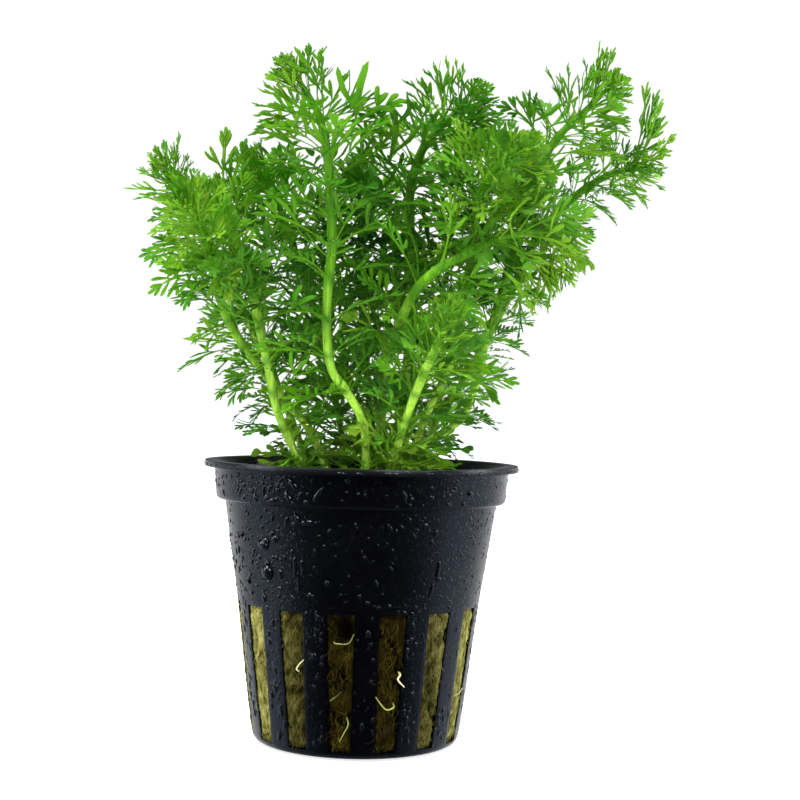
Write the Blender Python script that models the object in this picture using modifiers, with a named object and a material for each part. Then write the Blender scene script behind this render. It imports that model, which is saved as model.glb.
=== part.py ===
"""Potted dwarf ambulia: thirteen stems of fine-leaved water plant in a 5 cm net pot.

The frame has +Z up and -Y towards the viewer. The origin is the centre of the pot's underside.
The stems stand in holes in a plug of mineral wool, and the wool fills a slotted plastic pot.
"""

import math

import bmesh
import bpy
import numpy as np
from mathutils import Matrix, Vector

MM = 0.001
OBJECT_NAME = "potted_dwarf_ambulia"
GAP = 0.35 * MM
MERGE_DISTANCE = 0.01 * MM

# Net pot
POT_HEIGHT = 48.8 * MM
FLANGE_RADIUS = 27.5 * MM
FLANGE_THICKNESS = 1.0 * MM
COLLAR_RADIUS_TOP = 25.8 * MM
COLLAR_RADIUS_BOTTOM = 25.4 * MM
COLLAR_BOTTOM = 42.2 * MM
WALL_TOP_RADIUS = 23.8 * MM
WALL_BEND_HEIGHT = 25.8 * MM
WALL_BEND_RADIUS = 21.4 * MM
WALL_FOOT_HEIGHT = 1.6 * MM
WALL_FOOT_RADIUS = 18.2 * MM
BASE_RADIUS = 16.2 * MM
WALL = 0.9 * MM
FLOOR = 1.0 * MM
EDGE = 0.3 * MM
POT_STEPS = 60

# Slots in the wall, and drain holes in the floor
SLOT_COUNT = 15
SLOT_BOTTOM = 1.35 * MM
SLOT_TOP = 24.6 * MM
SLOT_WIDTH_BOTTOM = 3.5 * MM
SLOT_WIDTH_TOP = 4.7 * MM
SLOT_FIRST_ANGLE = math.radians(-7.9)
SLOT_CUT_DEPTH = 8.0 * MM
DRAIN_COUNT = 6
DRAIN_RADIUS = 1.6 * MM
DRAIN_CIRCLE = 9.5 * MM
DRAIN_SIDES = 10

# Mineral wool
WOOL_TOP = 45.0 * MM
WOOL_SHOULDER = 1.2 * MM
WOOL_STEPS = 30

# Stems
FOOT_HEIGHT = 22.8 * MM
COLLAR_HEIGHT = 46.3 * MM
FOOT_SPREAD = 0.86
STEM_SIDE_LEVEL = 1
STEM_STEP = 7.0 * MM
STEM_TAPER = 0.4
BORE_RADIUS = 1.45 * MM
BORE_SIDES = 8

# Leaves
LEAF_REACH = 12.0 * MM
LEAF_START = 51.8 * MM
LEAF_LOWEST = 50.0 * MM
LEAF_SLEEVE = 1.5 * MM
LEAF_LEAST = 2.3 * MM
LEAF_MARGIN = 0.45 * MM
LEAF_SIDES = 9
LEAF_LOOKS = 4
LEAF_FIRST_SHARE = 0.62
OWN_STEM_SHARE = 0.93
REACH_STEPS = 24
FINE_STEPS = 12
CROWN_LENGTH = 9.5 * MM
CROWN_SHARES = ((0.45, 0.8), (0.85, 0.4))
CROWN_CORE = 0.1

# Roots
ROOT_RADIUS = 0.25 * MM
ROOT_STEP = 0.65 * MM

# Each stem's route: its collar at the wool's top, as x and y, then its points above, all in millimetres
STEMS = {
    "front_centre": {
        "radius": 0.9,
        "collar": (1.0, -6.5),
        "route": [(0, -8.5, 55.8), (-3, -10, 61.3), (-5.5, -10.5, 64.8), (-6.5, -10.5, 70.8),
                  (-6.5, -10.5, 78.8), (-6, -10, 86.8), (-7, -9, 99.8), (-8.5, -8, 107.3), (-10.5, -8, 111.3),
                  (-12.5, -8, 114.3)],
    },
    "left": {
        "radius": 0.85,
        "collar": (-9.5, -5.0),
        "route": [(-14, -8.5, 55.8), (-15.5, -9.5, 60.8), (-16.5, -9.5, 65.8), (-17.5, -9.5, 69.8),
                  (-19, -9, 76.8), (-20.5, -8, 82.8), (-23, -7, 87.3), (-24.5, -5.5, 90.8),
                  (-25.5, -4, 94.3)],
    },
    "left_behind": {
        "radius": 0.85,
        "collar": (-5.5, 0.0),
        "route": [(-9.5, 0.5, 54.3), (-13, 0, 58.3), (-17.5, -2, 64.3), (-21.5, -4, 69.3), (-24, -6, 73.8),
                  (-25.5, -9, 78.8), (-26.5, -13, 83.8), (-28, -17, 88.3), (-29.5, -20, 91.3)],
    },
    "back_left": {
        "radius": 0.8,
        "collar": (-9.0, 5.0),
        "route": [(-14, 9, 58.3), (-20, 11, 70.8), (-26, 10, 82.3), (-31.5, 7, 91.8), (-36, 3, 99.3)],
    },
    "right": {
        "radius": 0.9,
        "collar": (3.0, 2.0),
        "route": [(3, 1.5, 55.8), (3.5, 0, 62.8), (3.5, -3, 67.3), (5, -6, 70.8), (6.5, -8.5, 74.8),
                  (8.5, -10.5, 78.8), (11.5, -12, 81.8), (16.5, -13, 84.8), (22, -14, 87.3), (28, -14, 88.8),
                  (32.5, -14, 87.3), (35, -14, 85.3)],
    },
    "top_middle": {
        "radius": 0.95,
        "collar": (5.5, 6.5),
        "route": [(7, 8.5, 58.8), (8, 9, 70.8), (8.5, 8, 81.8), (7.5, 6, 91.8), (7.5, 5, 97.8), (9, 4, 103.8),
                  (11.5, 3, 107.8), (14, 3, 110.3), (17, 3, 113.3)],
    },
    "front_right": {
        "radius": 0.8,
        "collar": (4.5, -7.5),
        "route": [(7, -10, 55.8), (9.5, -13.5, 63.3), (12, -17, 69.3), (13.5, -19, 73.8)],
    },
    "middle_right": {
        "radius": 0.8,
        "collar": (7.5, -1.5),
        "route": [(11, -3, 57.3), (13.5, -4, 62.8), (16, -4, 70.8), (17.5, -3.5, 78.8), (18.5, -4, 86.8),
                  (18.5, -8.5, 92.8), (19.5, -13.5, 96.8), (22, -17, 99.8), (25, -20, 102.3)],
    },
    "right_behind": {
        "radius": 0.9,
        "collar": (9.0, 3.0),
        "route": [(12, 4, 52.3), (16, 5, 55.3), (18.5, 5.5, 58.3), (20.5, 5, 64.8), (21.5, 4.5, 70.3),
                  (23, 4, 74.8), (25, 3, 82.3), (26.5, 2, 87.8), (28, 0, 94.8), (30, -2, 101.8),
                  (33, -3, 106.8), (36.5, -4, 110.3), (40, -5, 113.8)],
    },
    "far_right": {
        "radius": 0.85,
        "collar": (10.0, 7.5),
        "route": [(14, 10, 57.8), (18, 12.5, 62.8), (22.5, 15, 71.3), (27, 15.5, 80.8), (31, 13.5, 89.8),
                  (36, 10.5, 96.3), (42, 6.5, 100.8), (48.5, 2.5, 102.8)],
    },
    "back_left_centre": {
        "radius": 0.75,
        "collar": (-3.0, 7.5),
        "route": [(-4.5, 12, 56.8), (-8, 17, 69.8), (-12, 18.5, 82.8), (-16.5, 17.5, 94.8),
                  (-20.5, 15.5, 101.8)],
    },
    "back_centre": {
        "radius": 0.75,
        "collar": (1.0, 11.0),
        "route": [(1, 17, 59.8), (-0.5, 23, 73.8), (-1, 25, 85.8), (-1.5, 22, 94.8), (-2, 18.5, 100.8)],
    },
    "back_right": {
        "radius": 0.75,
        "collar": (6.0, 11.5),
        "route": [(10, 18, 59.8), (15, 24.5, 72.8), (20.5, 26.5, 86.8), (25, 23.5, 98.3), (29, 19.5, 105.8)],
    },
}

# Each visible root: its points as degrees round from the viewer, height and distance off the wall
ROOTS = {
    "root_left": [(-29.5, 14.6, -0.5), (-28.5, 15.2, 0.8), (-26.5, 16.1, 1.1), (-24, 17, 1.2)],
    "root_slot_left": [(-11, 20, -0.5), (-9.5, 20, 0.9), (-4, 20.1, 1.1), (-1.5, 21.7, 1.1)],
    "root_hook": [(20.8, 15.0, -0.5), (20.2, 14.8, 0.8), (19, 14.0, 1.1), (22.5, 12.7, 1.0)],
    "root_rib": [(19, 9.8, -0.5), (18, 9.3, 0.8), (14.5, 9, 1.0), (11.5, 10, 1.0), (9, 11.2, 1.0)],
    "root_long": [(-4.5, 7.4, -0.5), (-3.5, 6.4, 0.8), (-5.5, 4.9, 1.0), (-7.5, 3.5, 1.1)],
    "root_low": [(-11, 10.8, -0.5), (-12, 10.3, 0.8), (-9.5, 11, 1.0), (-7, 11.9, 1.0)],
    "root_right": [(60, 9.6, -0.5), (59.5, 10.2, 0.8), (62, 11.1, 1.0)],
}


def clear_scene():
    for old in list(bpy.data.objects):
        bpy.data.objects.remove(old, do_unlink=True)


def collection(name):
    made = bpy.data.collections.new(name)
    bpy.context.scene.collection.children.link(made)
    return made


def finish(name, colour, roughness):
    material = bpy.data.materials.new(name)
    material.use_nodes = True
    shader = material.node_tree.nodes["Principled BSDF"]
    shader.inputs["Base Color"].default_value = (*colour, 1.0)
    shader.inputs["Roughness"].default_value = roughness
    shader.inputs["Metallic"].default_value = 0.0
    return material


def piece(name, data, material, parts):
    made = bpy.data.objects.new(name, data)
    data.materials.append(material)
    parts.objects.link(made)
    return made


def cutter(name, shape, cutters):
    mesh = bpy.data.meshes.new(name)
    shape.to_mesh(mesh)
    shape.free()
    made = bpy.data.objects.new(name, mesh)
    made.hide_render = True
    made.display_type = "WIRE"
    cutters.objects.link(made)
    return made


def cut(target, tool):
    step = target.modifiers.new("cut", "BOOLEAN")
    step.operation = "DIFFERENCE"
    step.object = tool


def turned(name, profile, steps, material, parts):
    """Turn a profile of (radius, height) points, which runs down its outer side."""
    mesh = bpy.data.meshes.new(name)
    edges = [(i, i + 1) for i in range(len(profile) - 1)]
    mesh.from_pydata([(radius, 0.0, height) for radius, height in profile], edges, [])
    made = piece(name, mesh, material, parts)
    screw = made.modifiers.new("turn", "SCREW")
    screw.steps = steps
    screw.render_steps = steps
    screw.use_merge_vertices = True
    screw.merge_threshold = MERGE_DISTANCE
    screw.use_smooth_shade = True
    return made


def wall_radius(height):
    """The pot wall's outer radius below its collar."""
    heights = (WALL_FOOT_HEIGHT, WALL_BEND_HEIGHT, COLLAR_BOTTOM)
    radii = (WALL_FOOT_RADIUS, WALL_BEND_RADIUS, WALL_TOP_RADIUS)
    return float(np.interp(height, heights, radii))


def around(angle, radius, height):
    """A point at an angle round the pot, measured from the viewer towards +X."""
    return Vector((radius * math.sin(angle), -radius * math.cos(angle), height))


def pot_profile():
    flange_under = POT_HEIGHT - FLANGE_THICKNESS
    foot_inner = WALL_FOOT_RADIUS - WALL
    ledge = COLLAR_BOTTOM + WALL
    inner = [
        (0.0, FLOOR),
        (BASE_RADIUS - WALL, FLOOR),
        (foot_inner, WALL_FOOT_HEIGHT + EDGE),
        (WALL_BEND_RADIUS - WALL, WALL_BEND_HEIGHT),
        (WALL_TOP_RADIUS - WALL, COLLAR_BOTTOM - EDGE),
        (COLLAR_RADIUS_BOTTOM - WALL, ledge),
        (COLLAR_RADIUS_TOP - WALL, POT_HEIGHT - EDGE),
    ]
    rim = [
        (COLLAR_RADIUS_TOP - WALL + EDGE, POT_HEIGHT),
        (FLANGE_RADIUS - EDGE, POT_HEIGHT),
        (FLANGE_RADIUS, POT_HEIGHT - EDGE),
        (FLANGE_RADIUS, flange_under + EDGE),
        (FLANGE_RADIUS - EDGE, flange_under),
        (COLLAR_RADIUS_TOP, flange_under),
    ]
    outer = [
        (COLLAR_RADIUS_BOTTOM, COLLAR_BOTTOM + 2 * EDGE),
        (COLLAR_RADIUS_BOTTOM - 2 * EDGE, COLLAR_BOTTOM),
        (WALL_TOP_RADIUS, COLLAR_BOTTOM),
        (WALL_BEND_RADIUS, WALL_BEND_HEIGHT),
        (WALL_FOOT_RADIUS, WALL_FOOT_HEIGHT),
        (WALL_FOOT_RADIUS - WALL, WALL_FOOT_HEIGHT / 3),
        (BASE_RADIUS, 0.0),
        (0.0, 0.0),
    ]
    return inner + rim + outer


def slot_shape(shape, angle):
    """Add one slot's tapered block, which crosses the wall from inside to outside."""
    middle_radius = (WALL_BEND_RADIUS + WALL_FOOT_RADIUS) / 2
    corners = bmesh.ops.create_cube(shape, size=1.0)["verts"]
    for corner in corners:
        upper = corner.co.z > 0
        width = SLOT_WIDTH_TOP if upper else SLOT_WIDTH_BOTTOM
        sideways = corner.co.x * width
        radius = middle_radius + corner.co.y * SLOT_CUT_DEPTH
        height = SLOT_TOP if upper else SLOT_BOTTOM
        corner.co = around(angle, radius, height) + Vector((math.cos(angle), math.sin(angle), 0)) * sideways


def make_pot(parts, cutters):
    plastic = finish("black_plastic", (0.012, 0.013, 0.016), 0.35)
    pot = turned("net_pot", pot_profile(), POT_STEPS, plastic, parts)
    shape = bmesh.new()
    for index in range(SLOT_COUNT):
        slot_shape(shape, SLOT_FIRST_ANGLE + index * math.tau / SLOT_COUNT)
    for index in range(DRAIN_COUNT):
        place = around(index * math.tau / DRAIN_COUNT, DRAIN_CIRCLE, FLOOR / 2)
        bmesh.ops.create_cone(shape, cap_ends=True, segments=DRAIN_SIDES, radius1=DRAIN_RADIUS,
                              radius2=DRAIN_RADIUS, depth=3 * FLOOR, matrix=Matrix.Translation(place))
    bmesh.ops.recalc_face_normals(shape, faces=shape.faces)
    cut(pot, cutter("slots_and_drains", shape, cutters))


def wool_profile():
    inner_gap = WALL + GAP
    return [
        (0.0, WOOL_TOP),
        (WALL_TOP_RADIUS - inner_gap - 3 * WOOL_SHOULDER, WOOL_TOP),
        (WALL_TOP_RADIUS - inner_gap - WOOL_SHOULDER / 3, WOOL_TOP - WOOL_SHOULDER),
        (WALL_TOP_RADIUS - inner_gap, COLLAR_BOTTOM - 3 * EDGE),
        (WALL_BEND_RADIUS - inner_gap, WALL_BEND_HEIGHT),
        (WALL_FOOT_RADIUS - inner_gap, WALL_FOOT_HEIGHT + 2 * GAP),
        (BASE_RADIUS - inner_gap - GAP, FLOOR + GAP),
        (0.0, FLOOR + GAP),
    ]


def foot_and_collar(stem):
    x, y = stem["collar"]
    collar = Vector((x * MM, y * MM, COLLAR_HEIGHT))
    foot = Vector((x * FOOT_SPREAD * MM, y * FOOT_SPREAD * MM, FOOT_HEIGHT))
    return foot, collar


def make_wool(parts, cutters):
    fibre = finish("mineral_wool", (0.30, 0.29, 0.12), 0.95)
    wool = turned("wool_plug", wool_profile(), WOOL_STEPS, fibre, parts)
    shape = bmesh.new()
    for stem in STEMS.values():
        foot, collar = foot_and_collar(stem)
        run = (collar - foot).normalized()
        low = foot - run * GAP
        high = collar + run * GAP
        turn = Vector((0, 0, 1)).rotation_difference(run).to_matrix().to_4x4()
        place = Matrix.Translation((low + high) / 2) @ turn
        bmesh.ops.create_cone(shape, cap_ends=True, segments=BORE_SIDES, radius1=BORE_RADIUS,
                              radius2=BORE_RADIUS, depth=(high - low).length, matrix=place)
    cut(wool, cutter("stem_holes", shape, cutters))


def smooth_line(points, step):
    """Points about a step apart on a smooth curve that passes through the given ones."""
    ends = [points[0] * 2 - points[1]] + points + [points[-1] * 2 - points[-2]]
    line = []
    for a, b, c, d in zip(ends, ends[1:], ends[2:], ends[3:]):
        count = max(1, round((c - b).length / step))
        for index in range(count):
            t = index / count
            line.append(0.5 * (2 * b + (c - a) * t + (2 * a - 5 * b + 4 * c - d) * t ** 2
                               + (3 * b - a - 3 * c + d) * t ** 3))
    return line + [points[-1]]


def stem_line(stem):
    foot, collar = foot_and_collar(stem)
    above = [Vector(point) * MM for point in stem["route"]]
    return [foot] + smooth_line([collar] + above, STEM_STEP)


def tube(name, points, radii, side_level, material, parts):
    curve = bpy.data.curves.new(name, "CURVE")
    curve.dimensions = "3D"
    curve.bevel_depth = 1.0
    curve.bevel_resolution = side_level
    curve.use_fill_caps = True
    spline = curve.splines.new("POLY")
    spline.points.add(len(points) - 1)
    for target, point, radius in zip(spline.points, points, radii):
        target.co = (*point, 1.0)
        target.radius = radius
    return piece(name, curve, material, parts)


def make_stems(parts):
    green = finish("stem_green", (0.22, 0.47, 0.06), 0.45)
    for name, stem in STEMS.items():
        line = stem_line(stem)
        base = stem["radius"] * MM
        radii = [base * (1.0 - STEM_TAPER * index / (len(line) - 1)) for index in range(len(line))]
        tube("stem_" + name, line, radii, STEM_SIDE_LEVEL, green, parts)


def leafy_line(stem):
    """The stretch of a stem that carries leaves."""
    return [point for point in stem_line(stem) if point.z >= LEAF_START]


def frames_along(line):
    """At each point, two directions square to the line, carried along without twist."""
    side = Vector((1, 0, 0))
    frames = []
    for index in range(len(line)):
        before = line[max(index - 1, 0)]
        after = line[min(index + 1, len(line) - 1)]
        ahead = (after - before).normalized()
        side = (side - ahead * side.dot(ahead)).normalized()
        frames.append((ahead, side, ahead.cross(side)))
    return frames


def fine_points(line):
    """The line as closely spaced points, for measuring distances to it."""
    parts = [np.linspace(a, b, FINE_STEPS, endpoint=False) for a, b in zip(line, line[1:])]
    return np.vstack(parts + [np.array([line[-1]])])


def free_reach(start, direction, reach, own, others):
    """How far leaves may spread one way before they are as near another stem as their own."""
    steps = np.linspace(LEAF_LEAST, max(reach, LEAF_LEAST), REACH_STEPS)
    points = np.array(start) + steps[:, None] * np.array(direction)
    to_own = np.linalg.norm(points[:, None] - own[None], axis=2).min(axis=1)
    to_others = np.linalg.norm(points[:, None] - others[None], axis=2).min(axis=1)
    clear = to_others - to_own > 2 * LEAF_MARGIN
    clear &= to_own > OWN_STEM_SHARE * steps
    clear &= points[:, 2] > LEAF_LOWEST
    blocked = np.flatnonzero(~clear)
    return float(steps[-1] if len(blocked) == 0 else steps[max(blocked[0] - 1, 0)])


def leaf_stations(line):
    """Places along the stem and over its tip, each with its directions and the leaves' reach."""
    stations = []
    for index, (point, frame) in enumerate(zip(line, frames_along(line))):
        share = LEAF_FIRST_SHARE if index == 0 else 1.0
        stations.append((point, frame, LEAF_REACH * share))
    tip, frame, _ = stations[-1]
    for ahead, share in CROWN_SHARES:
        stations.append((tip + frame[0] * CROWN_LENGTH * ahead, frame, LEAF_REACH * share))
    return stations


def between(first, second, share):
    """A station part of the way from one to the next."""
    point = first[0].lerp(second[0], share)
    frame = [a.lerp(b, share).normalized() for a, b in zip(first[1], second[1])]
    return point, frame, first[2] + (second[2] - first[2]) * share


def spoke(frame, index):
    """One of the directions outwards from the stem, twice as many as the ring has corners."""
    angle = math.pi * index / LEAF_SIDES
    return frame[1] * math.cos(angle) + frame[2] * math.sin(angle)


def leaf_rings(line, own, others):
    """Outer rings of a leaf mass, each held to the least reach found around its corners."""
    stations = leaf_stations(line)
    fine = []
    for first, second in zip(stations, stations[1:]):
        fine += [between(first, second, step / LEAF_LOOKS) for step in range(LEAF_LOOKS)]
    fine.append(stations[-1])
    spokes = 2 * LEAF_SIDES
    found = np.array([[free_reach(point, spoke(frame, index), reach, own, others)
                       for index in range(spokes)] for point, frame, reach in fine])
    rings = []
    for row, (point, frame, _) in enumerate(stations):
        low = max(0, (row - 1) * LEAF_LOOKS + 1)
        window = found[low:(row + 1) * LEAF_LOOKS].min(axis=0)
        ring = []
        for corner in range(0, spokes, 2):
            reach = min(window[corner - 1], window[corner], window[(corner + 1) % spokes])
            ring.append(point + spoke(frame, corner) * float(reach))
        rings.append(ring)
    tip, frame = line[-1], stations[-1][1]
    return rings, tip + frame[0] * CROWN_LENGTH


def sleeve_rings(line):
    """Rings just clear of the stem, so that the leaf mass sits round it."""
    rings = []
    for point, (_, across, upward) in zip(line, frames_along(line)):
        angles = [math.tau * index / LEAF_SIDES for index in range(LEAF_SIDES)]
        rings.append([point + (across * math.cos(a) + upward * math.sin(a)) * LEAF_SLEEVE for a in angles])
    return rings


def bridge(shape, lower, upper):
    for index in range(LEAF_SIDES):
        following = (index + 1) % LEAF_SIDES
        shape.faces.new((lower[index], lower[following], upper[following], upper[index]))


def close_tip(shape, ring, point):
    tip = shape.verts.new(point)
    for index in range(LEAF_SIDES):
        shape.faces.new((ring[index], ring[(index + 1) % LEAF_SIDES], tip))


def make_leaf_mass(name, line, others, material, parts):
    """One closed solid round a stem that reaches the tips of its leaves."""
    outer, crown = leaf_rings(line, fine_points(line + [line[-1] * 2 - line[-2]]), others)
    inner = sleeve_rings(line)
    shape = bmesh.new()
    outside = [[shape.verts.new(point) for point in ring] for ring in outer]
    inside = [[shape.verts.new(point) for point in ring] for ring in inner]
    for lower, upper in zip(outside, outside[1:]):
        bridge(shape, lower, upper)
    for lower, upper in zip(inside, inside[1:]):
        bridge(shape, upper, lower)
    bridge(shape, inside[0], outside[0])
    close_tip(shape, outside[-1], crown)
    close_tip(shape, list(reversed(inside[-1])), line[-1] + (crown - line[-1]) * CROWN_CORE)
    bmesh.ops.recalc_face_normals(shape, faces=shape.faces)
    mesh = bpy.data.meshes.new(name)
    shape.to_mesh(mesh)
    shape.free()
    mesh.shade_smooth()
    piece(name, mesh, material, parts)


def make_leaves(parts):
    green = finish("leaf_green", (0.06, 0.30, 0.03), 0.5)
    lines = {name: stem_line(stem) for name, stem in STEMS.items()}
    for name, stem in STEMS.items():
        others = np.vstack([fine_points(line) for key, line in lines.items() if key != name])
        make_leaf_mass("leaves_" + name, leafy_line(stem), others, green, parts)


def make_roots(parts):
    pale = finish("root_pale", (0.62, 0.62, 0.34), 0.5)
    for name, route in ROOTS.items():
        points = []
        for degrees, height, off in route:
            radius = wall_radius(height * MM) + off * MM
            points.append(around(math.radians(degrees), radius, height * MM))
        line = smooth_line(points, ROOT_STEP)
        tube(name, line, [ROOT_RADIUS] * len(line), STEM_SIDE_LEVEL, pale, parts)


def main():
    clear_scene()
    parts = collection(OBJECT_NAME)
    cutters = collection("cutters")
    make_pot(parts, cutters)
    make_wool(parts, cutters)
    make_stems(parts)
    make_leaves(parts)
    make_roots(parts)


main()
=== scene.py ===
import math

import bpy
import numpy as np
from mathutils import Matrix, Vector, noise


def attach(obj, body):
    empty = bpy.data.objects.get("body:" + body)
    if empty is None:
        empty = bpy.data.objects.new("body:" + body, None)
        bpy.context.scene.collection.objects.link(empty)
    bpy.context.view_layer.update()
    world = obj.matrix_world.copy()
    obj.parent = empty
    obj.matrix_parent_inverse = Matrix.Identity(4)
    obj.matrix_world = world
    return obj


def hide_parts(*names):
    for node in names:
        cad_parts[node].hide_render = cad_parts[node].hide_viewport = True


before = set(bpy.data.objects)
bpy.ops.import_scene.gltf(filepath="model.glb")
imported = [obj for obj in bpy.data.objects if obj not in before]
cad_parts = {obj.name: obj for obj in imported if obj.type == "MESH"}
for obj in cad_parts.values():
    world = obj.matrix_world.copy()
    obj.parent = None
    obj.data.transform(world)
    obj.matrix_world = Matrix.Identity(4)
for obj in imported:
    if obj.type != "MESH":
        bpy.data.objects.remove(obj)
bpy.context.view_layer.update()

MM = 0.001

# Camera and studio

CAMERA_PLACE = (0.0, -0.290, 0.0618)
CAMERA_YAW = math.radians(1.27)
CAMERA_PITCH = math.radians(0.37)
CAMERA_ROLL = math.radians(1.45)
LENS = 74.0
SENSOR = 36.0

# Lights: place, what they are aimed at, width and height in metres, then watts and colour

SOFTBOXES = {
    "key": ((-0.26, -0.24, 0.70), (0, 0, 0.08), 0.32, 0.32, 8.8, (1.0, 1.0, 0.94)),
    "top": ((0.18, 0.14, 0.70), (0, 0, 0.08), 0.5, 0.5, 5.5, (1.0, 1.0, 0.98)),
    "left": ((-0.55, -0.14, 0.18), (0, 0, 0.05), 0.16, 0.3, 1.25, (0.85, 0.92, 1.0)),
    "right": ((0.55, 0.02, 0.18), (0, 0, 0.05), 0.16, 0.3, 1.25, (0.85, 0.92, 1.0)),
    "sparkle_left": ((-0.34, -0.44, 0.36), (0, 0, 0.03), 0.2, 0.2, 0.9, (0.86, 0.93, 1.0)),
    "sparkle_right": ((0.28, -0.48, 0.34), (0, 0, 0.03), 0.2, 0.2, 3.4, (0.86, 0.93, 1.0)),
    "fill": ((0.10, -0.60, 0.16), (0, 0, 0.07), 0.5, 0.3, 0.75, (1.0, 1.0, 0.95)),
    "mouth": ((0.05, -0.32, 0.10), (0.010, -0.012, 0.053), 0.05, 0.03, 0.010, (1.0, 1.0, 0.95)),
}

# Pot: its profile as radius and height in millimetres, from the floor's middle up the inside, over the rim and down

POT_INSIDE = [
    (0, 1.0), (6, 1.0), (12, 1.0), (15.5, 1.0), (16.9, 1.35), (17.3, 1.75), (18.1, 6.8), (18.85, 12.8),
    (19.6, 18.8), (20.35, 24.6), (20.5, 25.8), (21.2, 30.6), (22, 36), (22.85, 41.7), (22.95, 42), (24.4, 43.1),
    (24.55, 45.2), (24.85, 47.7), (24.9, 48.4),
]
POT_RIM = [(25.0, 48.65), (25.25, 48.8), (27.5, 48.8), (27.5, 47.8), (26, 47.8), (25.84, 47.7)]
POT_OUTSIDE = [
    (25.78, 47.4), (25.6, 45.2), (25.42, 42.9), (25.3, 42.45), (25.0, 42.22), (24.05, 42.2), (23.85, 42.05),
    (23.78, 41.7), (22.97, 36), (22.13, 30.6), (21.5, 26.6), (21.4, 25.8), (21.25, 24.6), (20.5, 18.8),
    (19.75, 12.8), (18.98, 6.8), (18.22, 1.75), (18.13, 1.35), (17.93, 0.85), (17.6, 0.45), (17.15, 0.18),
    (16.65, 0.04), (16.2, 0), (12, 0), (6, 0), (0, 0),
]

# The slots round the wall and the columns of faces for each, the drain holes in the floor, the bevel of the edges

SLOTS = 15
SLOT_FIRST = math.radians(-7.9)
SLOT_PITCH = math.tau / SLOTS
SLOT_LOW = 1.35
SLOT_HIGH = 24.6
SLOT_WIDTH_LOW = 3.5
SLOT_WIDTH_HIGH = 4.7
COLUMNS = 12
DRAINS = 6
DRAIN_RADIUS = 1.6
DRAIN_RING = 9.5
EDGE_BEVEL = 0.16
INSIDE_WALL = [(r, z) for r, z in POT_INSIDE if r > 14]
OUTSIDE_WALL = [(r, z) for r, z in reversed(POT_OUTSIDE) if z > 0]
FLANGE_EDGE = [POT_RIM[3], POT_RIM[2]]

# Water on the pot: how many beads there are in all, on the flange and more on the wettest patch, that patch's
# angles in radians, and heights: of the beads on the wall, collar and flange, and of the dry step under the collar

BEADS = 3200
FLANGE_BEADS = 90
PATCH_BEADS = 110
WET_PATCH = (-1.0, -0.4)
WALL_BEAD_HEIGHTS = (1.6, 47.1)
COLLAR_BEAD_HEIGHTS = (42.9, 47.0)
FLANGE_BEAD_HEIGHTS = (48.1, 48.3)
DRY_STEP = (41.4, 42.7)

# Mineral wool, in millimetres: the cylinder it starts as, how finely that is cut, and how many fibres lie on it

WOOL_RADIUS = 20
WOOL_LOW = 1.2
WOOL_MIDDLE = 23.1
WOOL_DEPTH = 43.8
WOOL_TOP = 45.0
WOOL_RINGS = 90
WOOL_COLUMNS = 360
WOOL_INSETS = 20
WOOL_INSET = 0.9
SLOT_FIBRES = 4300
TOP_FIBRES = 700

# Larger wet drops on the pot: degrees round from the viewer, height, width and length in millimetres, lean in degrees

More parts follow.
